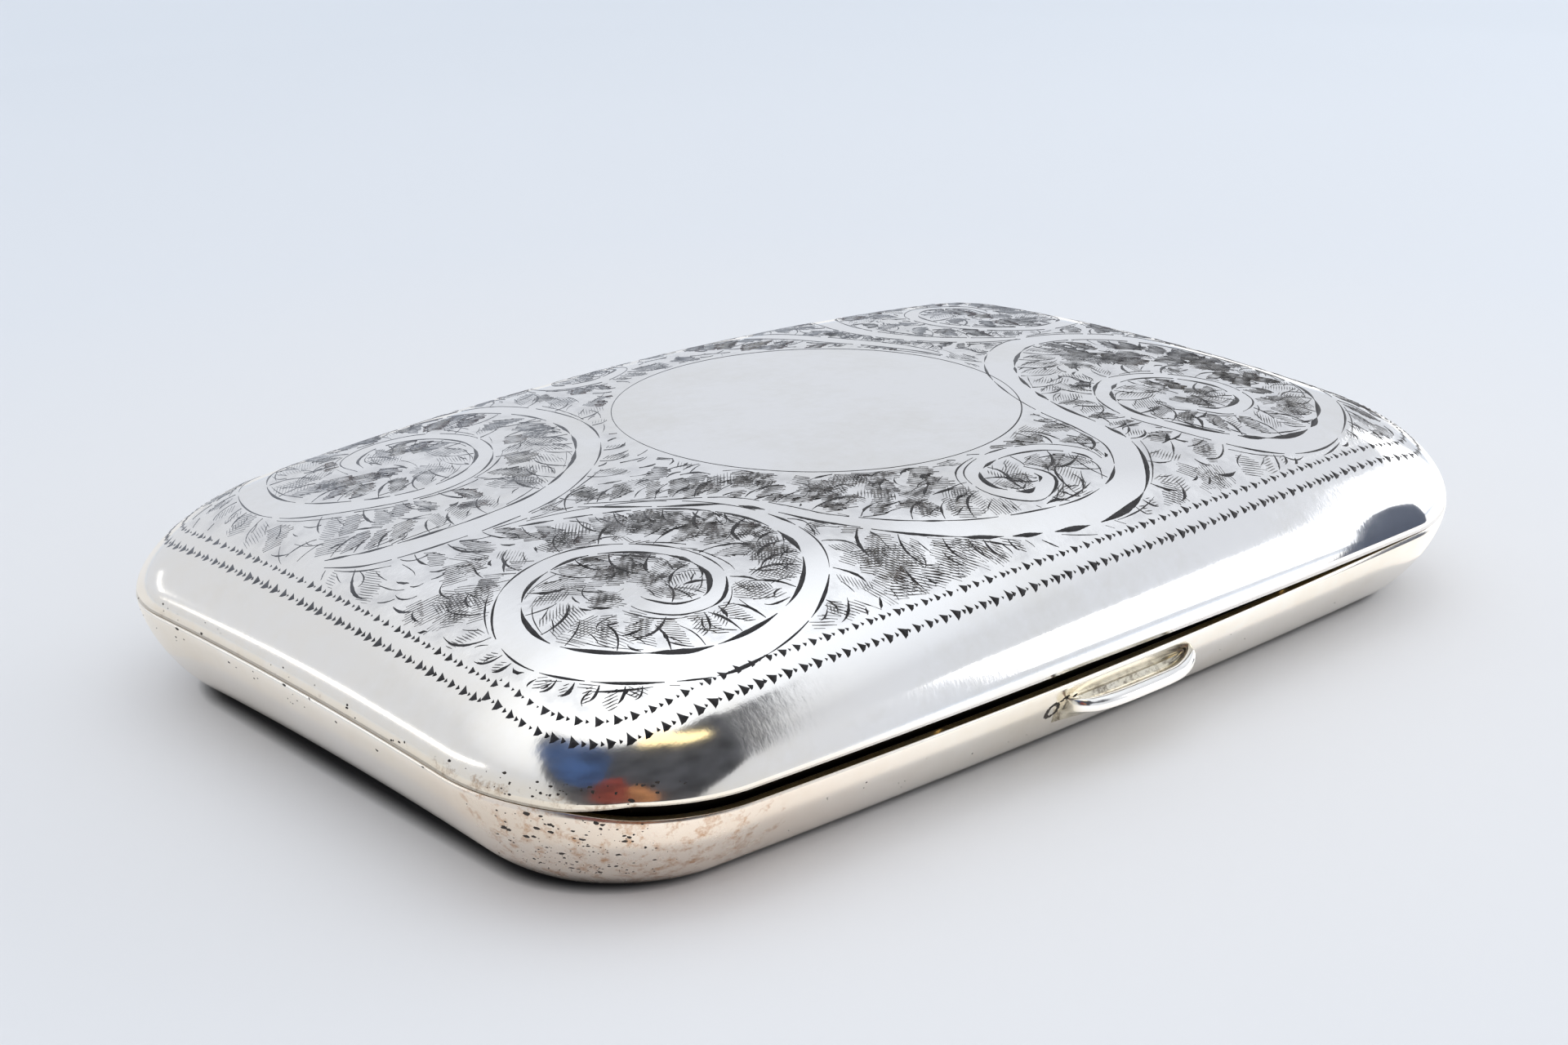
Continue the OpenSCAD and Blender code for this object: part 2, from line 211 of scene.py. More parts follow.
def closed_shell(outer, inner, outer_mid, inner_mid, up):
    """Points and faces of a closed sheet from rings that run from rim to middle, and the face kinds:
    0 outer, 1 rim, 2 inner. The first rings of outer and inner form the rim."""
    n = len(outer[0])
    verts = np.vstack(list(outer) + list(inner) + [outer_mid, inner_mid])
    faces, kinds = [], []
    for r in range(len(outer) - 1):
        faces.append(ring_faces(r * n, (r + 1) * n, n))
        kinds += [0] * n
    start = len(outer) * n
    for r in range(len(inner) - 1):
        faces.append(ring_faces(start + (r + 1) * n, start + r * n, n))
        kinds += [2] * n
    faces.append(ring_faces(start, 0, n))
    kinds += [1] * n
    faces = [tuple(f) for f in np.vstack(faces)]
    mid = len(verts) - 2
    i = np.arange(n)
    for k, (ring, centre) in enumerate(((start - n, mid), (mid - n, mid + 1))):
        tri = np.column_stack([ring + i, ring + (i + 1) % n, np.full(n, centre)])
        faces += [tuple(f if k == 0 else f[::-1]) for f in tri]
        kinds += [2 * k] * n
    if not up:
        faces = [f[::-1] for f in faces]
    return verts, faces, kinds


# ---- Materials ----

# The first colour is painted shade: black for the base's lowest edge at the left, where it meets the floor in
# shadow.
# The second colour is painted shade: near-black for the open seam at the front.
PAINTED_SHADE_BLACK, GAP_SHADE_BLACK, CARVED_GREY = (0.035, 0.03, 0.028), (0.006, 0.005, 0.004), (0.50, 0.50, 0.52)


def material(name, **sockets):
    """A new material, its node tree and its shader; sockets are written with _ for a space."""
    m = bpy.data.materials.new(name)
    m.use_nodes = True
    shader = m.node_tree.nodes["Principled BSDF"]
    for key, value in sockets.items():
        shader.inputs[key.replace("_", " ")].default_value = value
    return m, m.node_tree, shader


def node(tree, kind, **settings):
    """A shader node with some of its properties or input values set."""
    n = tree.nodes.new("ShaderNode" + kind)
    for key, value in settings.items():
        if hasattr(n, key) and key not in n.inputs:
            setattr(n, key, value)
        else:
            n.inputs[key].default_value = value
    return n


def math_node(tree, operation, a, b=None, c=None, clamp=False):
    n = node(tree, "Math", operation=operation, use_clamp=clamp)
    for i, v in enumerate((a, b, c)):
        if v is None:
            continue
        if isinstance(v, (int, float)):
            n.inputs[i].default_value = v
        else:
            tree.links.new(v, n.inputs[i])
    return n.outputs[0]


def noise(tree, coords, scale, detail=4.0, roughness=0.55, stretch=None, seed=0.0):
    """Noise over object coordinates; stretch scales the axes first."""
    mapping = node(tree, "Mapping")
    mapping.inputs["Location"].default_value = (seed, seed * 0.37, -seed * 0.61)
    if stretch:
        mapping.inputs["Scale"].default_value = stretch
    tree.links.new(coords, mapping.inputs["Vector"])
    n = node(tree, "TexNoise")
    n.inputs["Scale"].default_value = scale
    n.inputs["Detail"].default_value = detail
    n.inputs["Roughness"].default_value = roughness
    tree.links.new(mapping.outputs[0], n.inputs["Vector"])
    return n.outputs["Fac"]


def ramp(tree, value, stops):
    """Colour ramp from (position, colour) stops; a colour may be a single grey."""
    n = node(tree, "ValToRGB")
    tree.links.new(value, n.inputs["Fac"])
    bar = n.color_ramp
    while len(bar.elements) < len(stops):
        bar.elements.new(0.5)
    for e, (at, colour) in zip(bar.elements, stops):
        e.position = at
        e.color = (colour,) * 3 + (1,) if isinstance(colour, (int, float)) else tuple(colour) + (1,)
    return n.outputs["Color"]


def blend_colour(tree, factor, a, b, mode="MIX"):
    """Mix of two colours; factor, a and b are each a value or a node's output."""
    n = node(tree, "Mix", data_type="RGBA", blend_type=mode)
    for socket, v in ((n.inputs[0], factor), (n.inputs[6], a), (n.inputs[7], b)):
        if isinstance(v, (int, float)):
            socket.default_value = v
        elif isinstance(v, tuple):
            socket.default_value = v + (1,)
        else:
            tree.links.new(v, socket)
    return n.outputs[2]


def bump(tree, shader, height, strength, distance):
    """Adds a bump after the ones the shader already has."""
    b = node(tree, "Bump")
    b.inputs["Strength"].default_value = strength
    b.inputs["Distance"].default_value = distance
    tree.links.new(height, b.inputs["Height"])
    old = shader.inputs["Normal"].links
    if old:
        tree.links.new(old[0].from_socket, b.inputs["Normal"])
    tree.links.new(b.outputs[0], shader.inputs["Normal"])


def object_coords(tree):
    return node(tree, "TexCoord").outputs["Object"]


def attribute(tree, name):
    return node(tree, "Attribute", attribute_name=name).outputs["Fac"]


def silver(name, tint, dull, dull_from, warmth, rust, rough, leafy=False):
    """Old polished silver: thin patchy tarnish, worn-in fine scratches and small dings. The mesh's
    "tarnish" attribute deepens the tarnish, another paints shade on it in black, and "leafy" marks where the
    lid is carved."""
    m, tree, shader = material(name, Metallic=1.0)
    at = object_coords(tree)
    cloud = noise(tree, at, 60, 5, 0.6)
    fine = noise(tree, at, 900, 4, 0.65, seed=3)
    patch = math_node(tree, "MULTIPLY_ADD", fine, 0.25, math_node(tree, "MULTIPLY", cloud, 0.75))
    colour = ramp(tree, patch, [(0.32, dull), (dull_from, tint), (0.75, tint)])
    deep = attribute(tree, "tarnish")
    spots = noise(tree, at, 420, 6, 0.7, seed=8)
    mask = math_node(tree, "MULTIPLY", deep, math_node(tree, "ADD", spots, 0.35), clamp=True)
    mask = math_node(tree, "SMOOTH_MIN", math_node(tree, "MULTIPLY", mask, 1.1), 1.0, 0.1)
    colour = blend_colour(tree, mask, colour, warmth)
    blotches = noise(tree, at, 900, 6, 0.75, seed=15)
    worst = math_node(tree, "SUBTRACT", math_node(tree, "MULTIPLY", deep, blotches), 0.5)
    worst = math_node(tree, "MULTIPLY", worst, 5.0, clamp=True)
    colour = blend_colour(tree, worst, colour, rust)
    # Painted shade: an attribute blackens the silver low on the base, where the floor beside it lies in
    # shadow.
    painted_shade = attribute(tree, "painted_shade")
    colour = blend_colour(tree, painted_shade, colour, PAINTED_SHADE_BLACK)
    roughness = math_node(tree, "MULTIPLY_ADD", fine, 0.08, rough)
    roughness = math_node(tree, "MULTIPLY_ADD", mask, 0.09, roughness)
    if leafy:
        carved = attribute(tree, "leafy")
        grain = noise(tree, at, 1500, 3, 0.6, seed=5)
        patches = noise(tree, at, 420, 3, 0.6, seed=12)
        patches = math_node(tree, "MULTIPLY", math_node(tree, "SUBTRACT", patches, 0.46), 5.0, clamp=True)
        patches = math_node(tree, "MULTIPLY_ADD", patches, 0.34, 0.05)
        shade = math_node(tree, "MULTIPLY", carved, patches, clamp=True)
        colour = blend_colour(tree, shade, colour, CARVED_GREY)
        roughness = math_node(tree, "MULTIPLY_ADD", carved, 0.1, roughness)
        bump(tree, shader, math_node(tree, "MULTIPLY", grain, carved), 0.5, 0.00006)
    tree.links.new(colour, shader.inputs["Base Color"])
    tree.links.new(roughness, shader.inputs["Roughness"])
    for k, (stretch, scale) in enumerate((((1, 14, 3), 160), ((11, 1, 4), 190), ((5, 6, 1), 700))):
        bump(tree, shader, noise(tree, at, scale, 2, 0.5, stretch, seed=20 + k), 0.05, 0.00004)
    bump(tree, shader, noise(tree, at, 45, 2, 0.4, seed=31), 0.12, 0.0008)
    return m


def dark_oxide(name, colour, rough, metallic=0.6, worn=None):
    """Black silver oxide; on the lid it turns lighter and bluer toward the hinge, to the colour given by
    worn.
    """
    m, tree, shader = material(name, Metallic=metallic, Roughness=rough)
    at = object_coords(tree)
    tone = noise(tree, at, 800, 3, 0.6, seed=2)
    low = tuple(c * 0.35 for c in colour)
    shade = ramp(tree, tone, [(0.35, low), (0.62, colour)])
    if worn:
        place = node(tree, "SeparateXYZ")
        tree.links.new(at, place.inputs[0])
        uneven = math_node(tree, "MULTIPLY", tone, 0.5)
        # Lighter toward the hinge, unevenly
        toward_hinge = math_node(tree, "MULTIPLY_ADD", place.outputs["Y"], 22.0, uneven, clamp=True)
        shade = blend_colour(tree, toward_hinge, shade, worn)
    tree.links.new(shade, shader.inputs["Base Color"])
    bump(tree, shader, noise(tree, at, 2500, 2, 0.5), 0.4, 0.00003)
    return m


def painted_gap_shade(tree, colour):
    """Painted shade: darkens the faces at the front that don't look toward the middle, where the open seam
    lies in shadow.
    """
    at = node(tree, "TexCoord")
    flat = node(tree, "VectorMath", operation="MULTIPLY")
    tree.links.new(at.outputs["Object"], flat.inputs[0])
    flat.inputs[1].default_value = (1 / HALF_L ** 2 / MM, 1 / HALF_W ** 2 / MM, 0)
    dot = node(tree, "VectorMath", operation="DOT_PRODUCT")
    tree.links.new(flat.outputs[0], dot.inputs[0])
    tree.links.new(at.outputs["Normal"], dot.inputs[1])
    outward = math_node(tree, "MULTIPLY_ADD", dot.outputs["Value"], 200.0, 1.0, clamp=True)
    place = node(tree, "SeparateXYZ")
    tree.links.new(at.outputs["Object"], place.inputs[0])
    front = math_node(tree, "MULTIPLY_ADD", place.outputs["Y"], -300.0, -5.0, clamp=True)
    outward = math_node(tree, "MULTIPLY", outward, front)
    return blend_colour(tree, outward, colour, GAP_SHADE_BLACK)


def gilding(name, in_gap=False):
    """Thin gilding, worn pale in places; in_gap adds the painted shade of the open seam."""
    m, tree, shader = material(name, Metallic=1.0)
    at = object_coords(tree)
    wear = noise(tree, at, 110, 5, 0.65, seed=4)
    fine = noise(tree, at, 700, 3, 0.5, seed=6)
    worn = math_node(tree, "MULTIPLY_ADD", fine, 0.12, math_node(tree, "MULTIPLY", wear, 0.88))
    colour = ramp(tree, worn, [(0.28, (0.84, 0.62, 0.30)), (0.5, (0.93, 0.73, 0.40)),
                               (0.66, (0.94, 0.80, 0.54)), (0.78, (0.88, 0.86, 0.80))])
    if in_gap:
        colour = painted_gap_shade(tree, colour)
    tree.links.new(colour, shader.inputs["Base Color"])
    tree.links.new(math_node(tree, "MULTIPLY_ADD", wear, 0.14, 0.24), shader.inputs["Roughness"])
    for k, stretch in enumerate(((1, 16, 4), (14, 1, 5))):
        bump(tree, shader, noise(tree, at, 140, 3, 0.5, stretch, seed=40 + k), 0.05, 0.00005)
    return m


def plain_metal(name, colour, rough):
    """Drawn wire with fine lines along it."""
    m, tree, shader = material(name, Metallic=1.0)
    at = object_coords(tree)
    fine = noise(tree, at, 1600, 4, 0.6)
    tree.links.new(ramp(tree, fine, [(0.3, tuple(c * 0.7 for c in colour)), (0.65, colour)]),
                   shader.inputs["Base Color"])
    tree.links.new(math_node(tree, "MULTIPLY_ADD", fine, 0.2, rough), shader.inputs["Roughness"])
    bump(tree, shader, noise(tree, at, 900, 3, 0.5, (1, 9, 9)), 0.2, 0.00003)
    return m


def webbing(name, thread):
    """Woven elastic or sewing thread, with picks across it and a little fuzz."""
    m, tree, shader = material(name, Roughness=0.85)
    shader.inputs["Sheen Weight"].default_value = 0.25
    at = object_coords(tree)
    fuzz = noise(tree, at, 3000, 3, 0.7)
    picks = node(tree, "TexWave", wave_type="BANDS", bands_direction="Y")
    picks.inputs["Scale"].default_value = 560
    picks.inputs["Distortion"].default_value = 1.2
    tree.links.new(at, picks.inputs["Vector"])
    tone = math_node(tree, "MULTIPLY_ADD", fuzz, 0.5, math_node(tree, "MULTIPLY", picks.outputs["Fac"], 0.5))
    low, high = tuple(c * 0.3 for c in thread), tuple(c * 2.2 for c in thread)
    tree.links.new(ramp(tree, tone, [(0.25, low), (0.6, thread), (0.85, high)]), shader.inputs["Base Color"])
    bump(tree, shader, picks.outputs["Fac"], 0.5, 0.00008)
    bump(tree, shader, fuzz, 0.4, 0.00005)
    return m


LID_SILVER = silver("lid_silver", (0.93, 0.93, 0.94), (0.86, 0.85, 0.83), 0.52, (0.88, 0.81, 0.70),
                    (0.40, 0.27, 0.17), 0.05, leafy=True)
BASE_SILVER = silver("base_silver", (0.94, 0.92, 0.88), (0.86, 0.81, 0.72), 0.58, (0.85, 0.755, 0.66),
                     (0.50, 0.26, 0.12), 0.14)
HINGE_SILVER = silver("hinge_silver", (0.86, 0.86, 0.86), (0.62, 0.60, 0.57), 0.6, (0.3, 0.22, 0.15),
                      (0.2, 0.15, 0.1), 0.2)
THUMB_SILVER = silver("thumb_silver", (0.94, 0.93, 0.91), (0.88, 0.86, 0.81), 0.5, (0.80, 0.74, 0.60),
                      (0.12, 0.09, 0.06), 0.12)
OXIDE = dark_oxide("engraved_oxide", (0.035, 0.033, 0.036), 0.4, worn=(0.22, 0.23, 0.26))
GREY_OXIDE = dark_oxide("hatched_oxide", (0.23, 0.225, 0.225), 0.4, 0.9, worn=(0.46, 0.48, 0.52))
PIT = dark_oxide("pitted_tarnish", (0.035, 0.026, 0.020), 0.6, 0.2)
GILT = gilding("worn_gilding")
# The base frame carries the painted shade of the open front seam.
FRAME_GILT = gilding("frame_gilding", in_gap=True)
STEEL = plain_metal("drawn_steel", (0.50, 0.50, 0.51), 0.25)
WEBBING = webbing("elastic_webbing", (0.055, 0.040, 0.034))
THREAD = webbing("sewing_thread", (0.11, 0.085, 0.07))

# ---- Engraving: the layout ----
# Plan of the scrollwork in the engraver's own units, each about 1.04 mm, with the middle of the
# round cartouche at the origin. Each point of a ribbon is x, y and the ribbon's width there.
UNIT = 1.0435
CARTOUCHE_R = 15.3 * UNIT

LOWER_LEFT = [(-30, -3.6, .5), (-26.5, -5.1, 1.1), (-23, -7.1, 1.3), (-20, -10.1, 1.3), (-18.3, -13.6, 1.3),
              (-18, -17.5, 1.5), (-19.3, -21.4, 1.6), (-22.6, -24.2, 1.6), (-27.2, -25.4, 1.8),
              (-32.2, -25.1, 2.1), (-36.4, -22.6, 2.3), (-38.9, -18.6, 2.2), (-38.5, -14.5, 2.0),
              (-36.3, -11.5, 1.7), (-33, -10.2, 1.5), (-29.9, -10.3, 1.3), (-27.2, -12.2, 1.2),
              (-25.4, -15.2, 1.1), (-25.4, -18.5, 1.1), (-27.4, -20.9, 1.1), (-30.1, -20.7, 1.2),
              (-31.5, -18.8, 1.3), (-31.1, -16.9, .5)]
UPPER_LEFT = [(-40.6, 4.6, .6), (-38.4, 1.2, 1.7), (-35, -.9, 2.1), (-30.5, -1.5, 2.1), (-26, -1.1, 2.0),
              (-22, .7, 1.8), (-18.8, 3.4, 1.8), (-16.4, 7.2, 1.8), (-15.5, 11.6, 1.7), (-16.3, 16.4, 1.7),
              (-19.4, 21, 1.8), (-24.4, 24.2, 2.0), (-30, 24.8, 2.1), (-35, 22, 2.1), (-37.6, 17.4, 2.0),
              (-37.3, 12.6, 1.9), (-34.4, 8.4, 1.6), (-30.4, 6.5, 1.4), (-26.4, 7, 1.3), (-23.4, 9.6, 1.2),
              (-22.4, 13.3, 1.2), (-23.9, 16.9, 1.2), (-27.2, 18.4, 1.2), (-30.2, 17, 1.3), (-30.8, 14.2, .5)]
BOTTOM_STEM = [(-25.4, -4.2, .5), (-21.6, -7.9, 1.1), (-18, -11, 1.2), (-16.3, -14.3, 1.2), (-14.8, -18, 1.3),
               (-12, -21.3, 1.5), (-7.6, -23.7, 1.7), (-2.4, -25, 1.9), (3, -25.4, 2.1), (7.7, -24.2, 2.3),
               (10.7, -21, 2.4), (11.8, -16.8, 2.3), (12.2, -12.6, 2.2), (13.5, -8.3, 2.2), (16, -3.8, 2.3),
               (19.6, -.2, 2.4), (24.2, 2.3, 2.3), (29.2, 2.2, 2.2), (33.6, -.4, 2.2), (36.7, -5.2, 2.2),
               (38, -11, 2.2), (37, -17, 2.2), (33.6, -22, 2.1), (28.6, -24.6, 1.9), (23, -24.3, 1.7),
               (18.6, -21.4, 1.5), (16.7, -17, 1.4), (18, -12.6, 1.3), (22, -9.8, 1.3), (26.6, -10.6, 1.2),
               (29, -14.2, 1.2), (27.8, -18.2, 1.2), (24, -19.3, 1.3), (21.8, -16.8, .5)]
BOTTOM_CURL = [(7.4, -22.6, .5), (7.5, -20, 1.1), (5.4, -17.7, 1.2), (1.6, -17, 1.2), (-2, -18.3, 1.1),
               (-2.9, -21, 1.1), (-.6, -22.9, 1.1), (2.1, -21.7, 1.1), (1.6, -19.7, .4)]
TOP_STEM = [(16.6, 3.2, .5), (15.6, 7.6, 1.4), (13.4, 12.6, 1.8), (11.4, 17, 1.9), (7.6, 21.4, 2.0),
            (2, 24.2, 2.0), (-4.4, 24.4, 1.9), (-9.4, 21.8, 1.7), (-10.6, 18.6, 1.4), (-7.4, 17.2, 1.2),
            (-4, 18.6, 1.0), (-3.8, 20.8, .4)]
UPPER_RIGHT = [(27, 3.4, .5), (22.4, 5.2, 1.6), (18.8, 8.8, 1.8), (17.2, 13.8, 1.9), (18.4, 19.2, 2.0),
               (22.6, 23.2, 2.1), (28.4, 24.6, 2.2), (34, 22.8, 2.2), (37.6, 18.2, 2.1), (38.4, 12.4, 2.0),
               (35.8, 7.4, 1.8), (31.2, 5.8, 1.5), (26.8, 7.6, 1.3), (24.4, 11.4, 1.2), (25.2, 15.8, 1.2),
               (28.8, 18, 1.2), (32.2, 16.2, 1.2), (31.8, 13, .5)]
RIBBON_PLANS = [LOWER_LEFT, UPPER_LEFT, BOTTOM_STEM, BOTTOM_CURL, TOP_STEM, UPPER_RIGHT]
PUNCH_PITCH = 1.2
INNER_ROW = 1.25


def spline(points, step):
    """Smooth line through the given points, whatever their number of columns, resampled evenly."""
    p = np.asarray(points, float)
    ext = np.vstack([2 * p[0] - p[1], p, 2 * p[-1] - p[-2]])
    t = np.linspace(0, 1, 12, endpoint=False)[:, None]
    bits = []
    for a, b, c, d in zip(ext, ext[1:], ext[2:], ext[3:]):
        bits.append(0.5 * (2 * b + (c - a) * t + (2 * a - 5 * b + 4 * c - d) * t ** 2
                           + (3 * b - a - 3 * c + d) * t ** 3))
    return resampled(np.vstack(bits + [p[-1:]]), step)


def resampled(q, step):
    """A line's points at even steps along it."""
    s = np.r_[0, np.cumsum(np.linalg.norm(np.diff(q[:, :2], axis=0), axis=1))]
    u = np.linspace(0, s[-1], max(3, int(s[-1] / step) + 1))
    return np.column_stack([np.interp(u, s, q[:, k]) for k in range(q.shape[1])])


def side_vectors(line):
    """Unit tangents and left-hand normals of a plan line."""
    t = np.gradient(line[:, :2], axis=0)
    t /= np.maximum(np.linalg.norm(t, axis=1), 1e-9)[:, None]
    return t, np.column_stack([-t[:, 1], t[:, 0]])


RIBBONS = [spline(np.array(plan) * UNIT, 0.35) for plan in RIBBON_PLANS]
RIBBON_POINTS = np.vstack(RIBBONS)
RIBBON_TANGENTS = np.vstack([side_vectors(r)[0] for r in RIBBONS])


def border_depth(x, y):
    """How far in from the outline the outer row of punches runs. It wanders a little along the front and
    swings out round the corners."""
    vx, vy = np.maximum(np.abs(x) - SIDE_L, 0), np.maximum(np.abs(y) - SIDE_W, 0)
    corner = 2 * vx * vy / np.maximum(vx ** 2 + vy ** 2, 1e-9)
    wander = np.where(y < -SIDE_W, 0.5 * np.minimum((x / 30) ** 2, 1) - 0.1, 0)
    return 3.35 + wander * (1 - corner) - corner ** 2


def nearest_ribbon(p):
    """Index of the closest ribbon point to each point of p, and the distance to the ribbon's edge."""
    index = np.empty(len(p), int)
    gap = np.empty(len(p))
    for i in range(0, len(p), 2000):
        d = np.hypot(p[i:i + 2000, None, 0] - RIBBON_POINTS[None, :, 0],
                     p[i:i + 2000, None, 1] - RIBBON_POINTS[None, :, 1]) - RIBBON_POINTS[None, :, 2] / 2
        index[i:i + 2000] = d.argmin(1)
        gap[i:i + 2000] = d.min(1)
    return index, gap


def free_space(p):
    """Distance from each plan point to the nearest ribbon, cartouche or border; negative inside one."""
    gap = nearest_ribbon(p)[1]
    centre = np.hypot(p[:, 0], p[:, 1]) - CARTOUCHE_R - 0.35
    rim = outline_depth(p[:, 0], p[:, 1]) - border_depth(p[:, 0], p[:, 1]) - INNER_ROW - 0.25
    return np.minimum(np.minimum(gap, centre), rim)


class Strokes:
    """Collects cut lines of the graver, each a closed low wedge that hugs the lid. The cuts grow
    lighter toward the back."""

    EDGE, CREST = -0.012, 0.028
    PUNCH_EDGE, PUNCH_CREST = -0.02, 0.06

    def __init__(self):
        self.plan, self.lift, self.quads, self.tris, self.count = [], [], [], [], 0

    def add(self, line, width):
        n = len(line)
        if n < 2:
            return
        normal = side_vectors(line)[1]
        lighter = 1 - 0.45 * np.clip((line[:, 1:2] + 14) / 32, 0, 1)
        w = np.asarray(width, float).reshape(-1, 1) * lighter / 2
        pts = np.stack([line[:, :2] + normal * w, line[:, :2], line[:, :2] - normal * w], 1)
        self.plan.append(pts.reshape(-1, 2))
        self.lift.append(np.tile([self.EDGE, self.CREST, self.EDGE], n))
        a = self.count + 3 * np.arange(n - 1)
        for j, k in ((0, 1), (1, 2), (2, 0)):
            self.quads.append(np.column_stack([a + j, a + k, a + 3 + k, a + 3 + j]))
        last = self.count + 3 * (n - 1)
        self.tris.append([[self.count, self.count + 2, self.count + 1], [last, last + 1, last + 2]])
        self.count += 3 * n

    def punch(self, x, y, deep, wide, turn):
        """A struck wedge: a low three-cornered pyramid whose point faces along its turn."""
        u = np.array([[1, 0.12], [-0.45, 1], [-0.6, 0.05], [-0.45, -1]]) * (deep, wide)
        c, s = math.cos(turn), math.sin(turn)
        ring = np.column_stack([x + u[:, 0] * c - u[:, 1] * s, y + u[:, 0] * s + u[:, 1] * c])
        self.plan.append(np.vstack([ring, [[x, y]]]))
        self.lift.append(np.r_[np.full(4, self.PUNCH_EDGE), self.PUNCH_CREST])
        k = self.count
        self.tris.append([[k + i, k + (i + 1) % 4, k + 4] for i in range(4)])
        self.tris.append([[k, k + 2, k + 1], [k, k + 3, k + 2]])
        self.count += 5

    def build(self, name, mat):
        plan = np.vstack(self.plan)
        z = lid_surface(plan[:, 0], plan[:, 1]) + np.concatenate(self.lift)
        faces = [tuple(f) for f in np.vstack(self.quads)] if self.quads else []
        faces += [tuple(f) for group in self.tris for f in group]
        new_object(name, np.column_stack([plan, z]), faces, [mat], "lid", smooth=False)


def carving(x, y):
    """Shallow hollows and ridges that the graver left between the ribbons."""
    depth = 0.022
    waves = (np.sin(1.9 * x + 1.3 * np.sin(0.8 * y)) * np.cos(2.3 * y + 1.1 * np.sin(0.9 * x))
             + 0.6 * np.sin(3.1 * (x + 0.7 * y)) * np.cos(2.2 * (y - 0.6 * x)))
    return depth * waves


def lid_surface(x, y):
    """The lid's skin with its carving."""
    shape = x.shape
    p = np.column_stack([x.ravel(), y.ravel()])
    space = free_space(p)
    return lid_height(x, y) + (carving(p[:, 0], p[:, 1]) * np.clip(space / 0.7, 0, 1)).reshape(shape)


def tapered(n, start, middle, end):
    """Widths along a stroke that swells in its middle."""
    t = np.linspace(0, 1, n)
    ends = start * (1 - t) + end * t
    return ends + (middle - ends) * np.sin(np.pi * t) ** 1.3


def clipped(line, margin=0.1):
    """The first unbroken part of a line that lies in free space."""
    ok = free_space(line) > margin
    if not ok.any():
        return line[:0]
    a = int(ok.argmax())
    bad = np.nonzero(~ok[a:])[0]
    return line[a:a + int(bad[0])] if len(bad) else line[a:]


def curl(start, heading, length, turn, step=0.3):
    """A line that starts at a heading and turns evenly through an angle, in radians."""
    n = max(4, int(length / step) + 1)
    a = heading + turn * np.linspace(0, 1, n) ** 1.2
    d = np.column_stack([np.cos(a), np.sin(a)]) * length / (n - 1)
    return start + np.vstack([[0, 0], np.cumsum(d[:-1], axis=0)])


bold, thin, hatch, punches = Strokes(), Strokes(), Strokes(), Strokes()
# Where lines lie already, on a grid with four cells to a millimetre
GRID, GRID_HALF_L, GRID_FRONT, GRID_BACK = 4, 50, 32, 33
taken = np.zeros(((GRID_FRONT + GRID_BACK) * GRID, 2 * GRID_HALF_L * GRID), bool)


def cell(line):
    """Grid rows and columns of plan points."""
    i = ((line[:, 1] + GRID_FRONT) * GRID).astype(int)
    j = ((line[:, 0] + GRID_HALF_L) * GRID).astype(int)
    return np.clip(i, 0, taken.shape[0] - 1), np.clip(j, 0, taken.shape[1] - 1)


def mark(line):
    """Notes where a line lies, so that the fill keeps off it."""
    taken[cell(line)] = True


def cut(where, line, start, middle, end):
    """Adds the free part of a line to where, with its widths at both ends and in the middle."""
    line = clipped(line)
    if len(line) > 2:
        where.add(line, tapered(len(line), start, middle, end))
        mark(line)


def hatching(centre, heading, lines, pitch, length, lean):
    """A patch of fine parallel cuts beside centre, stepped along heading."""
    step = np.array([math.cos(heading), math.sin(heading)])
    dirn = np.array([math.cos(heading + lean), math.sin(heading + lean)])
    for i in range(lines):
        size = length * (0.6 + 0.4 * math.sin(math.pi * (i + 0.7) / (lines + 0.4))) * rng.uniform(0.85, 1.1)
        a = centre + step * i * pitch + dirn * size * rng.uniform(-0.08, 0.08)
        line = clipped(a + dirn * np.linspace(0, size, 3)[:, None])
        if len(line) > 1:
            hatch.add(line, tapered(len(line), 0.05, 0.13, 0.04))


def lobe(root, t, n, size):
    """One lobe of an acanthus leaf at a ribbon's edge: t is along the ribbon, n away from it."""
    q = np.linspace(0, 1, 12)[:, None]
    lean = rng.uniform(0.8, 1.25)
    rear = root + size * (t * (-0.15 + lean * q ** 2.0) + n * (1 - (1 - q) ** 2))
    front = root + size * (t * (lean + 0.28 * np.sin(np.pi * q) - 0.12 * q) + n * (1 - 0.85 * q))
    vein = root + size * (t * (0.25 + 0.55 * q ** 1.6) + n * (0.08 + 0.62 * q))
    cut(bold, rear[: rng.integers(6, 11)], 0.10, rng.uniform(0.18, 0.46), 0.04)
    if rng.random() < 0.6:
        cut(bold, front[rng.integers(3, 7):], 0.04, rng.uniform(0.12, 0.3), 0.06)
    if size > 2.2:
        cut(thin, vein[2:9], 0.06, 0.15, 0.05)
    turn = math.copysign(1, t[0] * n[1] - t[1] * n[0])
    hatching(root + size * (0.1 * t + 0.1 * n), math.atan2(n[1], n[0]), int(size / 0.27), 0.24,
             size * rng.uniform(0.35, 0.6), -turn * 1.1)


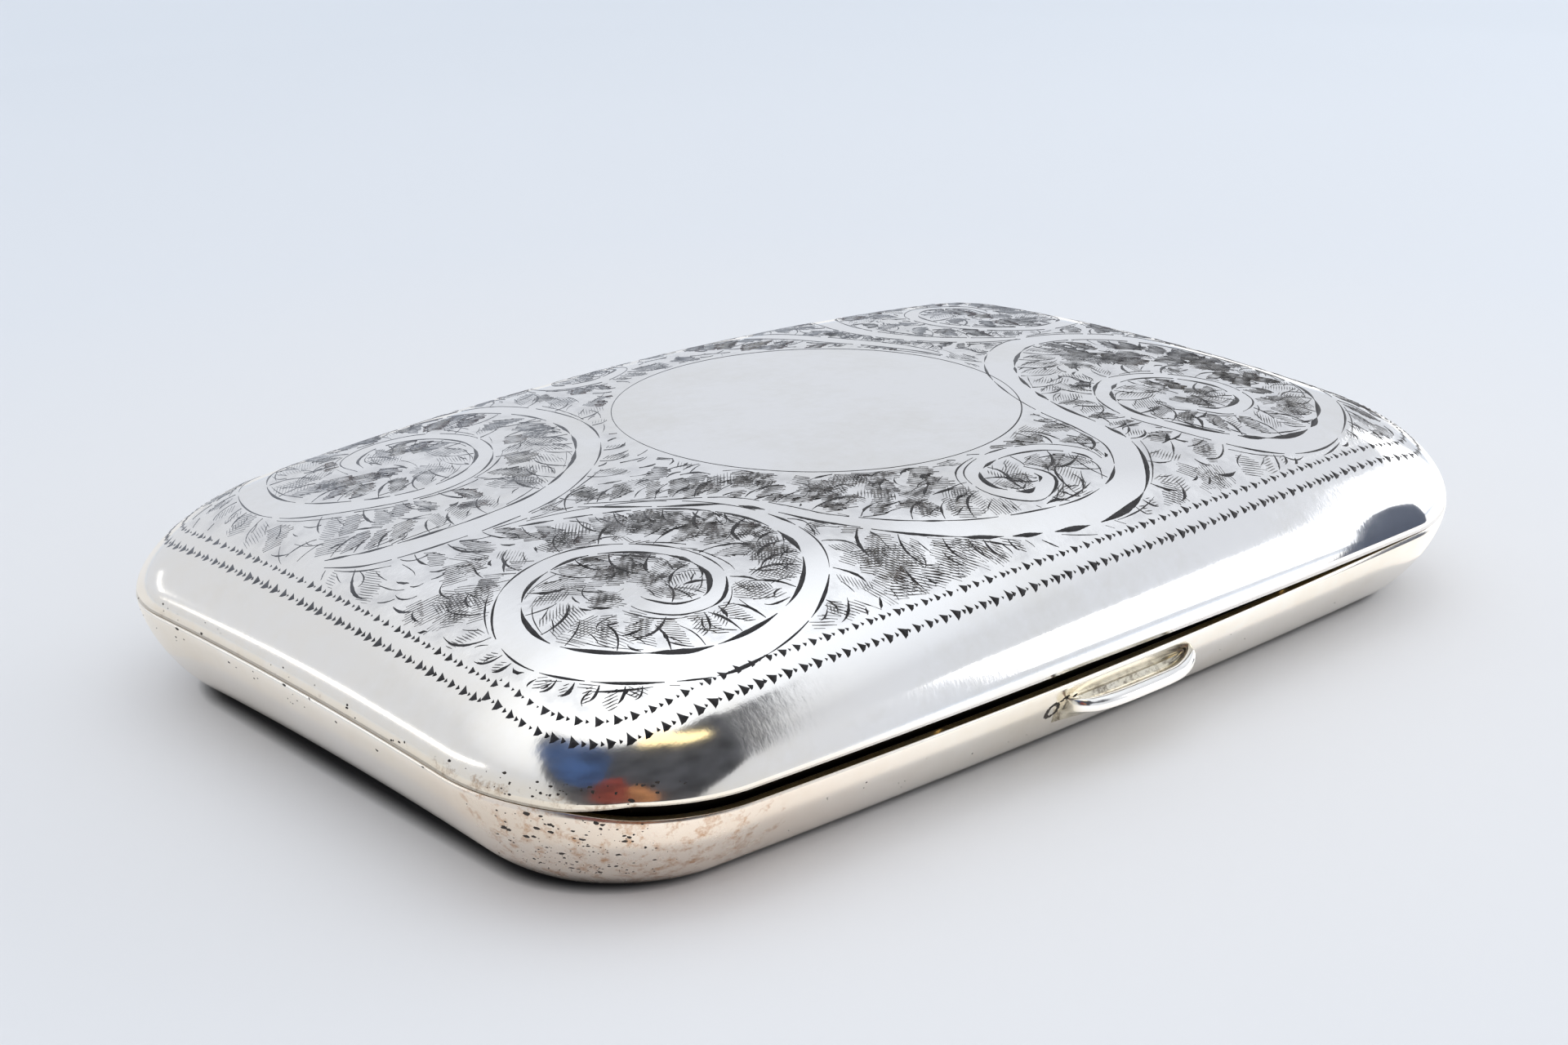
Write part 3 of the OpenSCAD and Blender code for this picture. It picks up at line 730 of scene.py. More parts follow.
# Ribbons: broken dark cuts along both edges, heaviest on the inside of each curl, then the leaves
for ribbon in RIBBONS:
    t, n = side_vectors(ribbon)
    bend = np.mean(t[:-6, 0] * t[6:, 1] - t[:-6, 1] * t[6:, 0])
    for side in (-1, 1):
        edge_line = ribbon[:, :2] + n * side * ribbon[:, 2:3] / 2
        inside = side * bend > 0
        a = int(rng.integers(0, 5))
        while a < len(ribbon) - 6:
            size = int(rng.integers(7, 20))
            part = edge_line[a:a + size]
            middle = rng.uniform(0.38, 0.75) if inside else rng.uniform(0.18, 0.4)
            bold.add(part, tapered(len(part), 0.10, middle, 0.04))
            if rng.random() < 0.45:
                b = a + int(rng.integers(0, 5))
                away = np.linspace(0.3, 0.75, a + size - b)[:len(ribbon) - b, None]
                beside = edge_line[b:a + size] + n[b:a + size] * side * away
                cut(bold, beside, 0.04, rng.uniform(0.1, 0.28), 0.04)
            a += size + int(rng.integers(-1, 3))
        a = int(rng.integers(2, 6))
        while a < len(ribbon) - 4:
            root = edge_line[a] + n[a] * side * 0.22
            size = 1.0
            if rng.random() < 0.8:
                for size in (3.4, 2.7, 2.1, 1.6, 1.2):
                    size *= rng.uniform(0.75, 1.15)
                    tip = (root + size * (t[a] + n[a] * side))[None]
                    if free_space(tip)[0] > 0.15:
                        lobe(root, t[a], n[a] * side, size)
                        break
            a += int(max(3, size * rng.uniform(0.7, 1.15) / 0.35))

# Fill: commas, leaf tips and hatched patches between the leaves. Most hatching runs one way over the lid.
COMMAS_TO, VEINS_TO, HATCH_WAY, HATCH_LEAN = 0.42, 0.5, -0.8, 1.45
spots = rng.uniform((-46, -30), (46, 30), (14000, 2))
spots = spots[free_space(spots) > 0.25]
near = nearest_ribbon(spots)[0]
for p, j in zip(spots, near):
    (i,), (k,) = cell(p[None])
    if taken[max(0, i - 2):i + 3, max(0, k - 2):k + 3].any():
        continue
    t = RIBBON_TANGENTS[j]
    away = p - RIBBON_POINTS[j, :2]
    side = math.copysign(1, t[0] * away[1] - t[1] * away[0])
    heading = math.atan2(t[1], t[0]) + side * rng.uniform(0.2, 1.3)
    kind = rng.random()
    if kind < COMMAS_TO:
        cut(bold, curl(p, heading, rng.uniform(0.8, 2.4), -side * rng.uniform(0.3, 1.8)),
            0.06, rng.uniform(0.15, 0.48), 0.04)
    elif kind < VEINS_TO:
        cut(thin, curl(p, heading, rng.uniform(1.2, 2.8), -side * rng.uniform(0.2, 1.0)), 0.08, 0.16, 0.04)
    elif p[1] < -4 or rng.random() < 0.65:
        mark(p[None])
        way = HATCH_WAY + rng.normal(0, 0.35) if rng.random() < 0.6 else heading + side * 1.2
        hatching(p, way + HATCH_LEAN, int(rng.integers(6, 13)), 0.24, rng.uniform(1.3, 2.8), -HATCH_LEAN)

# The two curls nearest the front left are shaded most heavily
spots = rng.uniform((-44, -29), (-6, -8), (210, 2))
for p in spots[free_space(spots) > 0.3]:
    way = HATCH_WAY + HATCH_LEAN + rng.normal(0, 0.3)
    hatching(p, way, int(rng.integers(5, 11)), 0.25, rng.uniform(1.2, 2.4), -HATCH_LEAN)

# Cartouche: one plain line, and the double row of punches round the border
angle = np.linspace(0, 2 * np.pi, 361)
ring_line = CARTOUCHE_R * np.column_stack([np.cos(angle), np.sin(angle)])
bold.add(ring_line, 0.12 + 0.06 * np.sin(angle * 2 + 0.6) ** 2)

stations = outline(0.1)
for row, (size, drift) in enumerate(((0.46, 0.0), (0.38, INNER_ROW))):
    depth = border_depth(stations[:, 0], stations[:, 1]) + drift
    track = stations[:, :2] - stations[:, 2:] * depth[:, None]
    s = np.r_[0, np.cumsum(np.linalg.norm(np.diff(track, axis=0), axis=1))]
    total = s[-1] + np.linalg.norm(track[0] - track[-1])
    count = int(total / (PUNCH_PITCH / 2))
    for i in range(count):
        at = (i + rng.uniform(-0.15, 0.15)) * total / count
        x, y = np.interp(at, s, track[:, 0]), np.interp(at, s, track[:, 1])
        nx, ny = np.interp(at, s, stations[:, 2]), np.interp(at, s, stations[:, 3])
        big = (i + row) % 2 == 0
        scale = size * (rng.uniform(0.85, 1.2) if big else rng.uniform(0.3, 0.6))
        punches.punch(x, y, scale * 1.2, scale * 0.95, math.atan2(-ny, -nx) + 0.5 + rng.uniform(-0.2, 0.2))

bold.build("lid_engraved_lines", OXIDE)
thin.build("lid_engraved_veins", OXIDE)
hatch.build("lid_engraved_hatching", GREY_OXIDE)
punches.build("lid_border_punches", OXIDE)

# ---- The two shells ----

def rim_rings(point, line, bulge):
    """Rounded rim between the outer and inner skins: a few rings across the sheet's thickness."""
    rings = []
    for share in (0.18, 0.5, 0.82):
        ring = point(line, 0.0, WALL * share)
        ring[:, 2] += bulge * (1 - abs(2 * share - 1))
        rings.append(ring)
    return rings


def shrunk(ring, heights, shares):
    """Copies of a ring drawn in toward the case's middle, at the heights that a surface gives them."""
    return [np.column_stack([ring[:, :2] * k, heights(ring[:, 0] * k, ring[:, 1] * k)]) for k in shares]


def set_attribute(o, name, values):
    layer = o.data.attributes.new(name, "FLOAT", "POINT")
    layer.data.foreach_set("value", np.asarray(values, np.float32))


WEAR_AT, WEAR_REACH = (-41.0, -28.0), (26.0, 16.0)


def corner_wear(p):
    """Strength of the wear about the front left corner, from 0 to 1."""
    x, y = ((p[:, k] - WEAR_AT[k]) / WEAR_REACH[k] for k in (0, 1))
    return np.clip(1 - np.hypot(x, y), 0, 1)


RIM_BULGE = 0.02
line = outline(0.55)
lid_ts = np.linspace(0, 1, 34) ** 1.45
lid_ks = np.linspace(1, 0, 30, endpoint=False)[1:]
flat_edge = lid_point(line, 1.0, 0)
outer = [lid_point(line, t, 0) for t in lid_ts]
outer += shrunk(flat_edge, lid_top, lid_ks)
for ring in outer[4:]:
    ring[:, 2] += lid_surface(ring[:, 0], ring[:, 1]) - lid_height(ring[:, 0], ring[:, 1])
inner_edge = lid_point(line, 1.0, WALL)
inner = rim_rings(lid_point, line, -RIM_BULGE)
inner += [lid_point(line, t, WALL) for t in np.linspace(0, 1, 14) ** 1.3]
inner += shrunk(inner_edge, lambda x, y: lid_top(x, y) - WALL, np.linspace(1, 0, 7, endpoint=False)[1:])
crown = lid_top(0, 0)
verts, faces, kinds = closed_shell(outer, inner, [[0, 0, crown]], [[0, 0, crown - WALL]], True)
lid = new_object("lid_skin", verts, faces, [LID_SILVER, LID_SILVER, GILT], "lid", kinds)
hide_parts("lid_shell")
outer_count = len(outer) * len(line)
leafy = np.zeros(len(verts))
leafy[:outer_count] = np.clip(free_space(verts[:outer_count, :2]) / 0.35, 0, 1)
set_attribute(lid, "leafy", leafy)
above_seam = verts[:, 2] - seam(verts[:, 1])
low = np.clip(1 - above_seam / 1.6, 0, 1)
left = np.clip((-40 - verts[:, 0]) / 6, 0, 1)
roll = np.clip((LID_H + 1.2 - above_seam) / 3, 0, 1) * np.clip((-18 - verts[:, 0]) / 16, 0, 1)
tarnish = 0.9 * low * corner_wear(verts) + 0.5 * left * low ** 0.5 + 0.42 * roll
set_attribute(lid, "tarnish", np.clip(tarnish, 0, 1))

base_ts = np.linspace(0, 1, 24) ** 1.3
base_floor = base_point(line, 1.0, 0)
outer = [base_point(line, t, 0) for t in base_ts]
outer += shrunk(base_floor, lambda x, y: base_bottom(y), np.linspace(1, 0, 14, endpoint=False)[1:])
inner_floor = base_point(line, 1.0, WALL)
inner = rim_rings(base_point, line, RIM_BULGE)
inner += [base_point(line, t, WALL) for t in np.linspace(0, 1, 12) ** 1.2]
inner += shrunk(inner_floor, lambda x, y: base_bottom(y) + WALL, np.linspace(1, 0, 10, endpoint=False)[1:])
bottom = base_bottom(0)
verts, faces, kinds = closed_shell(outer, inner, [[0, 0, bottom]], [[0, 0, bottom + WALL]], False)
base = new_object("base_skin", verts, faces, [BASE_SILVER, BASE_SILVER, GILT], "base", kinds)
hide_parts("base_shell")
wear = corner_wear(verts)
left = np.clip((-38 - verts[:, 0]) / 6, 0, 1)
set_attribute(base, "tarnish", np.clip(1.35 * wear + 0.2 * left + 0.1, 0, 1))
# Painted shade: the base's lowest edge, mostly at the left, is blackened where it meets the shadowed floor.
near_floor = np.clip((0.75 - verts[:, 2]) / 0.5, 0, 0.92)
set_attribute(base, "painted_shade", near_floor * np.clip(left + 0.3 * wear, 0, 1))

# ---- CAD nodes that stay: their finish, and softened edges ----

def finish_node(name, mat, bevel_mm):
    """Gives a CAD node its material and, unless it is thin wire, soft edges."""
    o = frame["nodes"][name]
    o.data.materials.clear()
    o.data.materials.append(mat)
    if bevel_mm:
        b = o.modifiers.new("soft_edges", "BEVEL")
        b.width = bevel_mm * MM
        b.segments = 2
        b.limit_method = "ANGLE"
        b.angle_limit = math.radians(40)
        b.harden_normals = False


for name in ("base_hinge_bearer", "lid_hinge_bearer"):
    finish_node(name, HINGE_SILVER, 0.05)
for name in frame["nodes"]:
    if "knuckle" in name or "pin_cap" in name:
        finish_node(name, HINGE_SILVER, 0.06)
finish_node("hinge_pin", STEEL, 0)
finish_node("base_frame", FRAME_GILT, 0.08)
finish_node("lid_frame", GILT, 0.08)
for name in ("catch_pips", "band_bar_front", "band_bar_back"):
    finish_node(name, GILT, 0)

# ---- The thumb piece: a scooped silver shelf with a rolled lip, drawn back into the wall at both ends ----

THUMB_LOW, THUMB_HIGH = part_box("thumb_piece")
THUMB_HALF = (THUMB_HIGH.x - THUMB_LOW.x) / 2 / MM
THUMB_FRONT = -THUMB_LOW.y / MM + Y_MID
WALL_Y = HALF_W + FRONT_SWELL
RIM_Z = SEAM_Z - 1.55
LIP_DROP, LIP_R, SHELF_DEPTH = 1.65, 0.55, 3.9
SCOOP_BACK = -0.85


def thumb_section(out, rise):
    """Section from the wall over the scoop and round the lip: (distance out of the rim, height)."""
    lip_z = RIM_Z - LIP_DROP + rise
    lip = [(out - LIP_R + LIP_R * math.sin(a), lip_z - LIP_R + LIP_R * math.cos(a))
           for a in np.linspace(-0.7, 2.3, 9)]
    scoop_z = lip_z - 0.2 - 0.3 * max(0.0, out)
    top = [(-1.0, lip_z + 0.35), (-0.62, lip_z + 0.1), (SCOOP_BACK + 0.35, scoop_z + 0.12),
           (SCOOP_BACK * 0.3 + (out - 0.8) * 0.35, scoop_z), (out - 1.15, lip_z - 0.3)]
    low = RIM_Z - SHELF_DEPTH
    under = [(out - 0.75, lip_z - 1.15), (out * 0.25 - 0.75, (lip_z + low) / 2 - 0.55),
             (-1.75, low), (-2.25, low + 0.15)]
    return top + lip + under


THUMB_ENDS = -0.55
reach = THUMB_FRONT - WALL_Y
turns = np.linspace(0, math.pi, 57)
thumb_verts = []
for a in turns:
    across = -math.copysign(abs(math.cos(a)) ** 0.62, math.cos(a))
    swell = math.sin(a) ** 0.8
    bulb = 0.25 * math.exp(-((across + 0.9) / 0.1) ** 2)
    rise = 0.55 * max(0.0, across - 0.55) ** 1.5 / 0.3 + 0.5 * bulb
    for d, z in thumb_section(THUMB_ENDS + (reach - THUMB_ENDS) * swell + bulb * 0.4, rise):
        thumb_verts.append((across * (THUMB_HALF - 0.02), -WALL_Y - d, z))
rows, cols = len(turns), len(thumb_verts) // len(turns)
thumb_faces = [(r * cols + c, (r + 1) * cols + c, (r + 1) * cols + (c + 1) % cols, r * cols + (c + 1) % cols)
               for r in range(rows - 1) for c in range(cols)]
thumb_faces += [tuple(range(cols)), tuple(range((rows - 1) * cols, rows * cols))[::-1]]
thumb = new_object("thumb_shelf", thumb_verts, thumb_faces, [THUMB_SILVER], "base")
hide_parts("thumb_piece")
points = np.array(thumb_verts)
set_attribute(thumb, "tarnish", np.clip((points[:, 1] + WALL_Y + 0.75) / 0.7, 0, 1))

# ---- Pits in the silver: small black flecks, closed and low, set on the skins ----

around = outline(0.1)


def skin_frame(point, station, t):
    """Place, and unit normal, on a skin at one station of the outline."""
    i = int(station) % len(around)
    three = around[[i - 1, (i + 1) % len(around), i]]
    here = point(three, t, 0)
    ahead = point(three[2:], min(1.0, t + 0.01), 0)[0]
    normal = np.cross(here[1] - here[0], ahead - here[2])
    normal /= np.linalg.norm(normal)
    return here[2], normal if normal @ np.r_[around[i, 2:], 0] > 0 else -normal


def flecks(name, body, marks):
    """Irregular low lumps from (place, normal, radius, stretch) marks."""
    edge_depth, crest, keel = 0.012, 0.026, 0.05
    verts, faces = [], []
    for place, normal, radius, stretch in marks:
        side = np.cross(normal, (0, 0, 1.0))
        side /= np.linalg.norm(side)
        up = np.cross(side, normal)
        k, n = len(verts), 7
        for a in np.arange(n) / n * 2 * math.pi:
            r = radius * rng.uniform(0.65, 1.25)
            spoke = side * r * stretch * math.cos(a) + up * r * math.sin(a)
            verts.append(place + spoke - normal * edge_depth)
        verts.append(place + normal * crest)
        verts.append(place - normal * keel)
        faces += [(k + i, k + (i + 1) % n, k + n) for i in range(n)]
        faces += [(k + (i + 1) % n, k + i, k + n + 1) for i in range(n)]
    new_object(name, verts, faces, [PIT], body, smooth=False)


def scatter(count, point, where, depths, sizes, stretch, shares=None, crowding=1.0):
    """Random marks on a skin at some stations; sizes are the smallest radius, its spread and a power
    that makes large marks rare, and crowding draws them toward the seam."""
    found = []
    for _ in range(count):
        place = skin_frame(point, rng.choice(where, p=shares), rng.uniform(*depths) ** crowding)
        radius = sizes[0] + sizes[1] * rng.random() ** sizes[2]
        found.append((*place, radius, rng.uniform(*stretch)))
    return found


by_corner = np.nonzero((around[:, 0] < -30) & (around[:, 1] < -18) & (around[:, 3] < 0.01))[0]
by_left = np.nonzero((around[:, 2] < -0.9) & (around[:, 1] < 26))[0]
by_front = np.nonzero((around[:, 3] < -0.9) & (around[:, 0] > -30) & (around[:, 0] < 30))[0]
WORST_AT, WORST_REACH = (-44.2, -27.2), 4.2
from_worst = np.hypot(around[by_corner, 0] - WORST_AT[0], around[by_corner, 1] - WORST_AT[1])
corner_share = np.exp(-(from_worst / WORST_REACH) ** 2)
corner_share /= corner_share.sum()
marks = scatter(190, base_point, by_corner, (0.02, 0.55), (0.04, 0.15, 3), (0.9, 1.9), corner_share, 1.3)
marks += scatter(26, base_point, by_left, (0.0, 0.06), (0.05, 0.1, 2), (1.0, 2.4))
marks += scatter(22, base_point, by_front, (0.1, 0.4), (0.04, 0.06, 2), (0.9, 1.4))
# A ring of black flecks round the thumb piece's left end, and more in the groove behind it
first = np.argmin(np.hypot(around[:, 0] + THUMB_HALF + 0.9, around[:, 1] + WALL_Y))
for a in np.linspace(0, 2 * math.pi, 16, endpoint=False):
    place = skin_frame(base_point, first + round(5 * math.cos(a)), 0.13 + 0.05 * math.sin(a))
    marks.append((*place, 0.26, 1.1))
for _ in range(12):
    marks.append((*skin_frame(base_point, first + rng.integers(4, 22), rng.uniform(0.05, 0.11)), 0.2, 1.6))
flecks("base_pits", "base", marks)
marks = scatter(40, lid_point, by_corner, (0.0, 0.05), (0.05, 0.1, 3), (0.9, 2.2), corner_share)
marks += scatter(26, lid_point, by_left, (0.0, 0.03), (0.04, 0.08, 2), (1.0, 2.4))
flecks("lid_pits", "lid", marks)

# ---- The card band: ribbed elastic, folded round both bars and sewn back on itself ----

BAND_T, BAR_R, LOOP_PLAY, BAND_OVERHANG = 0.5, 0.4, 0.05, 1.15
LOOP_R = BAR_R + LOOP_PLAY + BAND_T / 2
band_low, band_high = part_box("card_band")
BAND_W = round((band_high.x - band_low.x) / MM, 2)
BAR_YS = (band_low.y / MM - Y_MID + BAND_OVERHANG, band_high.y / MM - Y_MID - BAND_OVERHANG)
BAR_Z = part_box("band_bar_front")[1].z / MM - BAR_R


def loop_path(bar_y, way):
    """The folded end of the band round one bar, from its cut end to the top; way is +1 at the front."""
    back_z = BAR_Z + LOOP_R - BAND_T - 0.02
    points = [(bar_y + way * 7.5, back_z), (bar_y + way * 5.5, back_z), (bar_y + way * 3.5, back_z),
              (bar_y + way * 2.3, back_z - 0.1), (bar_y + way * 1.4, BAR_Z - LOOP_R * 0.55),
              (bar_y + way * 0.6, BAR_Z - LOOP_R * 0.98)]
    points += [(bar_y - way * LOOP_R * math.sin(a), BAR_Z - LOOP_R * math.cos(a))
               for a in np.linspace(0, math.pi, 9)]
    return points


path = loop_path(BAR_YS[0], 1)
path += [(y, BAR_Z + LOOP_R) for y in np.linspace(BAR_YS[0] + 1, BAR_YS[1] - 1, 40)]
path = spline(np.array(path + loop_path(BAR_YS[1], -1)[::-1]), 0.35)
band_normal = side_vectors(path)[1]
RIB_POINTS, RIB_H = 45, 0.05
across = np.linspace(-BAND_W / 2, BAND_W / 2, RIB_POINTS)
ribs = RIB_H * np.abs(np.sin(np.arange(RIB_POINTS) * math.pi / 4)) ** 0.7
verts = []
for (y, z), n in zip(path, band_normal):
    for side in (1, -1):
        reach = side * (BAND_T / 2 - RIB_H + ribs)
        verts += list(zip(across[::side], y + n[0] * reach[::side], z + n[1] * reach[::side]))
faces = tube_faces(0, len(path), 2 * RIB_POINTS)
band = new_object("elastic_band", verts, faces, [WEBBING], "base")
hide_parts("card_band")
# Two rows of stitches at each end, each stitch a short spindle
STITCH_ROWS, STITCHES, STITCH_HALF, STITCH_W, STITCH_H, STITCH_LIFT = (2.6, 6.6), 15, 0.26, 0.07, 0.06, 0.03
verts, faces = [], []
for bar_y, way in zip(BAR_YS, (1, -1)):
    for row in STITCH_ROWS:
        for x in np.linspace(-BAND_W / 2 + 0.5, BAND_W / 2 - 0.5, STITCHES):
            faces += tube_faces(len(verts), 7, 6)
            for share in np.linspace(-1, 1, 7):
                swell = math.sqrt(max(0.0, 1 - share ** 2)) + 0.02
                for a in np.linspace(0, 2 * math.pi, 6, endpoint=False):
                    verts.append((x + share * STITCH_HALF, bar_y + way * row + STITCH_W * swell * math.cos(a),
                                  BAR_Z + LOOP_R + BAND_T / 2 + STITCH_LIFT + STITCH_H * swell * math.sin(a)))
stitches = new_object("band_stitches", verts, faces, [THREAD], "base")

# ---- The studio's floor ----

# Half the floor's width in metres. In millimetres, how far inside the outline the case's deep shade
# starts, and how much less that is at the left.
FLOOR = 3.0
SHADE_INSET, SHADE_LEFT = 4.6, 0.9


def stage_mesh(name, verts, faces, mat, camera_sees=True, casts=True):
    """A piece of the studio, from points in metres."""
    me = bpy.data.meshes.new(name)
    me.from_pydata(verts, [], [tuple(map(int, f)) for f in faces])
    me.materials.append(mat)
    me.polygons.foreach_set("use_smooth", np.full(len(me.polygons), True))
    o = bpy.data.objects.new(name, me)
    bpy.context.scene.collection.objects.link(o)
    o.visible_camera = camera_sees
    if not casts:
        o.visible_diffuse = o.visible_shadow = False
    return o


def strips(ring_count, n):
    """Quads between successive rings of n points."""
    return np.vstack([ring_faces((k + 1) * n, k * n, n) for k in range(ring_count - 1)])


def sky_patch(name, knots, mat, radius, casts=True):
    """A piece of a dome about the case: knots are (azimuth, lowest, highest elevation) in degrees, with
    azimuth 0 in front of the case and 90 at its right."""
    knots = np.array(knots, float)
    az = np.linspace(knots[0, 0], knots[-1, 0], max(12, int(knots[-1, 0] - knots[0, 0]) // 2))
    low, high = np.interp(az, knots[:, 0], knots[:, 1]), np.interp(az, knots[:, 0], knots[:, 2])
    rows = 9
    verts = []
    for a, lo, hi in zip(np.radians(az), np.radians(low), np.radians(high)):
        for e in np.linspace(lo, hi, rows):
            flat = radius * math.cos(e)
            verts.append((flat * math.sin(a), -flat * math.cos(a), radius * math.sin(e)))
    faces = [(i * rows + j, (i + 1) * rows + j, (i + 1) * rows + j + 1, i * rows + j + 1)
             for i in range(len(az) - 1) for j in range(rows - 1)]
    stage_mesh(name, verts, faces, mat, False, casts)


def card_material(name, colour, glow=0.0):
    """A card that mirrors show: glowing evenly, or else mottled."""
    m, tree, shader = material(name, Base_Color=colour + (1,), Roughness=0.9)
    if glow:
        shader.inputs["Emission Color"].default_value = colour + (1,)
        shader.inputs["Emission Strength"].default_value = glow
    else:
        mottle = noise(tree, object_coords(tree), 9, 4, 0.6)
        low = tuple(c * 0.35 for c in colour)
        tree.links.new(ramp(tree, mottle, [(0.35, low), (0.6, colour)]), shader.inputs["Base Color"])
    return m


floor_mat, floor_tree, floor_shader = material("floor_paper", Roughness=0.8)
floor_at = object_coords(floor_tree)
spread = node(floor_tree, "VectorMath", operation="LENGTH")
floor_tree.links.new(floor_at, spread.inputs[0])
# Painted light: the paper is lighter and more neutral close to the case, evening out the shade round it, and
# bluer further off.
painted_light_pool = ramp(floor_tree, math_node(floor_tree, "MULTIPLY", spread.outputs["Value"], 3.0),
                [(0.12, (0.815, 0.815, 0.83)), (0.4, (0.75, 0.78, 0.83)), (1.0, (0.71, 0.755, 0.82))])
paper = ramp(floor_tree, noise(floor_tree, floor_at, 6, 2, 0.5), [(0.3, 0.985), (0.7, 1.0)])
floor_colour = blend_colour(floor_tree, 1.0, painted_light_pool, paper, "MULTIPLY")
floor_tree.links.new(floor_colour, floor_shader.inputs["Base Color"])
stage_mesh("floor", [(-FLOOR, -FLOOR, 0), (FLOOR, -FLOOR, 0), (FLOOR, FLOOR, 0), (-FLOOR, FLOOR, 0)],
           [(0, 1, 2, 3)], floor_mat)

# Deep shade where the case stands, fading out under its rim
shade_mat, shade_tree, shade_shader = material(
    "contact_shade", Base_Color=(0.01, 0.01, 0.012, 1), Roughness=1.0)
shade_mix, clear = node(shade_tree, "MixShader"), node(shade_tree, "BsdfTransparent")
shade_tree.links.new(attribute(shade_tree, "shade"), shade_mix.inputs[0])
shade_tree.links.new(clear.outputs[0], shade_mix.inputs[1])
shade_tree.links.new(shade_shader.outputs[0], shade_mix.inputs[2])
shade_tree.links.new(shade_mix.outputs[0], shade_tree.nodes["Material Output"].inputs["Surface"])
rim = outline(1.0)
verts, shades = [], []
under_left = np.clip(-rim[:, 2], 0, 1)
SHADE_RINGS = ((0.0, 0.0), (0.8, 0.4), (1.6, 0.85), (2.6, 1.0), (6.0, 1.0))
for inset, share in SHADE_RINGS:
    ring = rim[:, :2] - rim[:, 2:] * (inset + SHADE_INSET - SHADE_LEFT * under_left)[:, None]
    verts += [(x * MM, (y + Y_MID) * MM, 0.00005) for x, y in ring]
    shades += [share] * len(rim)
faces = strips(len(SHADE_RINGS), len(rim)).tolist() + [range(len(verts) - len(rim), len(verts))]
shade = stage_mesh("contact_shade", verts, faces, shade_mat)
set_attribute(shade, "shade", shades)

# ---- Camera: in front and to the left of the case, looking down at it ----

AZ, EL, ROLL = (math.radians(a) for a in (-41.02, 19.98, -0.83))
DISTANCE, LENS, SENSOR = 201.0 * MM, 58.63, 36
target = Vector((-2.89, 1.63, 8.805)) * MM
back = Vector((math.sin(AZ) * math.cos(EL), -math.cos(AZ) * math.cos(EL), math.sin(EL)))
cam = bpy.data.cameras.new("camera")
cam.lens = LENS
cam.sensor_width = SENSOR
cam.clip_start = 0.01
cam_ob = bpy.data.objects.new("camera", cam)
bpy.context.scene.collection.objects.link(cam_ob)
cam_ob.location = target + back * DISTANCE
cam_ob.rotation_euler = (back.to_track_quat("Z", "Y").to_matrix() @ Matrix.Rotation(ROLL, 3, "Z")).to_euler()
bpy.context.scene.camera = cam_ob

# ---- Light, and what the silver mirrors ----

world = bpy.data.worlds.new("studio")
world.use_nodes = True
tree = world.node_tree
sky = tree.nodes["Background"]
height = node(tree, "SeparateXYZ")
tree.links.new(node(tree, "TexCoord").outputs["Generated"], height.inputs[0])
SKY = [(0.0, (0.74, 0.765, 0.81)), (0.6, (0.745, 0.765, 0.80)), (1.0, (1.3, 1.34, 1.38))]
tree.links.new(ramp(tree, height.outputs["Z"], SKY), sky.inputs["Color"])
sky.inputs["Strength"].default_value = 1.0
bpy.context.scene.world = world

# Light that the floor throws back at the case, weaker at the left and the back
bounce_mat = card_material("bounce", (0.78, 0.76, 0.735), 1.0)
bounce_tree = bounce_mat.node_tree
bounce_glow = bounce_tree.nodes["Principled BSDF"].inputs["Emission Strength"]
bounce_tree.links.new(attribute(bounce_tree, "glow"), bounce_glow)
ring_sizes = (0.0, 4.0, 20.0, 80.0, 260.0)
verts = [((x + nx * out) * MM, (y + ny * out + Y_MID) * MM, 0.0002)
         for out in ring_sizes for x, y, nx, ny in rim]
bounce = stage_mesh("bounce", verts, strips(len(ring_sizes), len(rim)), bounce_mat, False, False)
left, right = np.clip(-1.4 * rim[:, 2] - 0.6, 0, 1), np.maximum(rim[:, 2], 0)
glow = 0.5 + 0.1 * right - 0.5 * left - 0.4 * np.clip(rim[:, 3], 0, 1)
set_attribute(bounce, "glow", np.tile(glow.clip(0.06, 1), len(ring_sizes)))

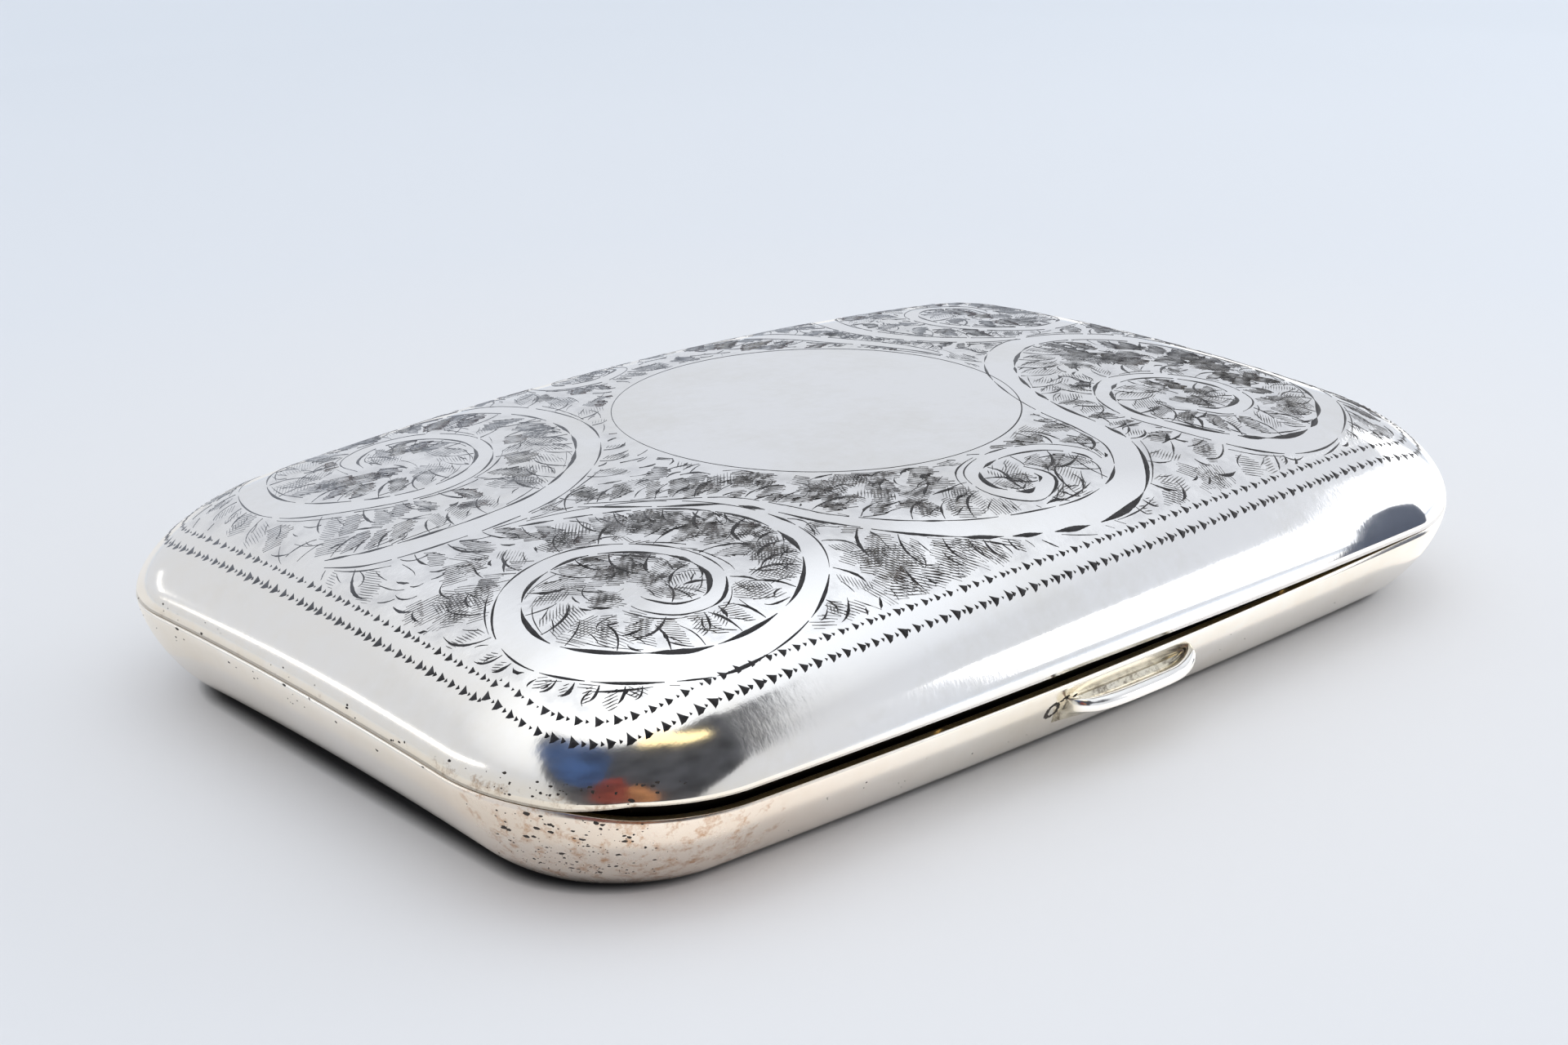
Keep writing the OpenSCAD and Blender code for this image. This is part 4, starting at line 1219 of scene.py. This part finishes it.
# What the silver mirrors, out of the camera's sight: a white window at the right with a post in it,
# strips of light at the back left, and behind the camera a dark room with a few coloured cloths.
# Dome radii are in metres.
FAR, NEAR, CLOTH, POST = 0.75, 0.65, 0.6, 0.074
window = card_material("window", (1.0, 0.99, 0.97), 1.3)
sky_patch("right_window", [(38, 5, 24), (50, 3, 22.5), (58, 2, 23), (70, 2, 29), (76, 1, 31), (86, 0, 29),
                           (102, 0, 27)], window, FAR)
strip = card_material("strip", (1.0, 0.98, 0.94), 1.5)
sky_patch("left_strip", [(-149, 8, 10), (-143, 13.5, 17), (-125, 20, 25), (-108, 28, 31)], strip, FAR)
sky_patch("left_glint", [(-169, 12.5, 14.5), (-153, 12, 14)], strip, FAR)
dark = card_material("dark_card", (0.09, 0.09, 0.10))
sky_patch("dark_room", [(-106, 63, 68), (-86, 52, 69), (-72, 33, 69), (-61, 4, 69), (-57, 0, 69), (-8, 0, 70),
                        (2, 15, 70), (14, 22, 69), (29, 28, 67), (37, 43, 66), (46, 52, 62), (51, 55, 57)],
          dark, NEAR, False)
blue = card_material("blue_card", (0.06, 0.125, 0.30))
sky_patch("blue_cloth", [(-100, 60, 68), (-80, 49, 69), (-66, 36, 69), (-55, 30, 68), (-47, 44, 62)],
          blue, CLOTH, False)
yellow = card_material("yellow_card", (1.0, 0.80, 0.42), 1.1)
sky_patch("yellow_shade", [(-27, 67, 71), (-8, 65, 74), (8, 60, 68), (27, 56, 60)], yellow, CLOTH, False)
red = card_material("red_card", (0.32, 0.05, 0.03))
sky_patch("red_cloth", [(-52, 10, 32), (-46, 8, 43), (-39, 10, 45), (-34, 16, 30)], red, CLOTH, False)
tan = card_material("tan_card", (0.62, 0.26, 0.10))
sky_patch("tan_cloth", [(-36, 9, 32), (-30, 5, 36), (-23, 12, 22)], tan, CLOTH, False)
post = card_material("post_card", (0.12, 0.14, 0.19))
sky_patch("window_post", [(44, 0, 1), (45.5, 0, 8), (47.5, 0, 13), (50, 0, 15.5), (52.5, 0, 15.5),
                          (54, 0, 12), (55.5, 0, 4)], post, POST, False)

bpy.context.scene.view_settings.view_transform = "Standard"
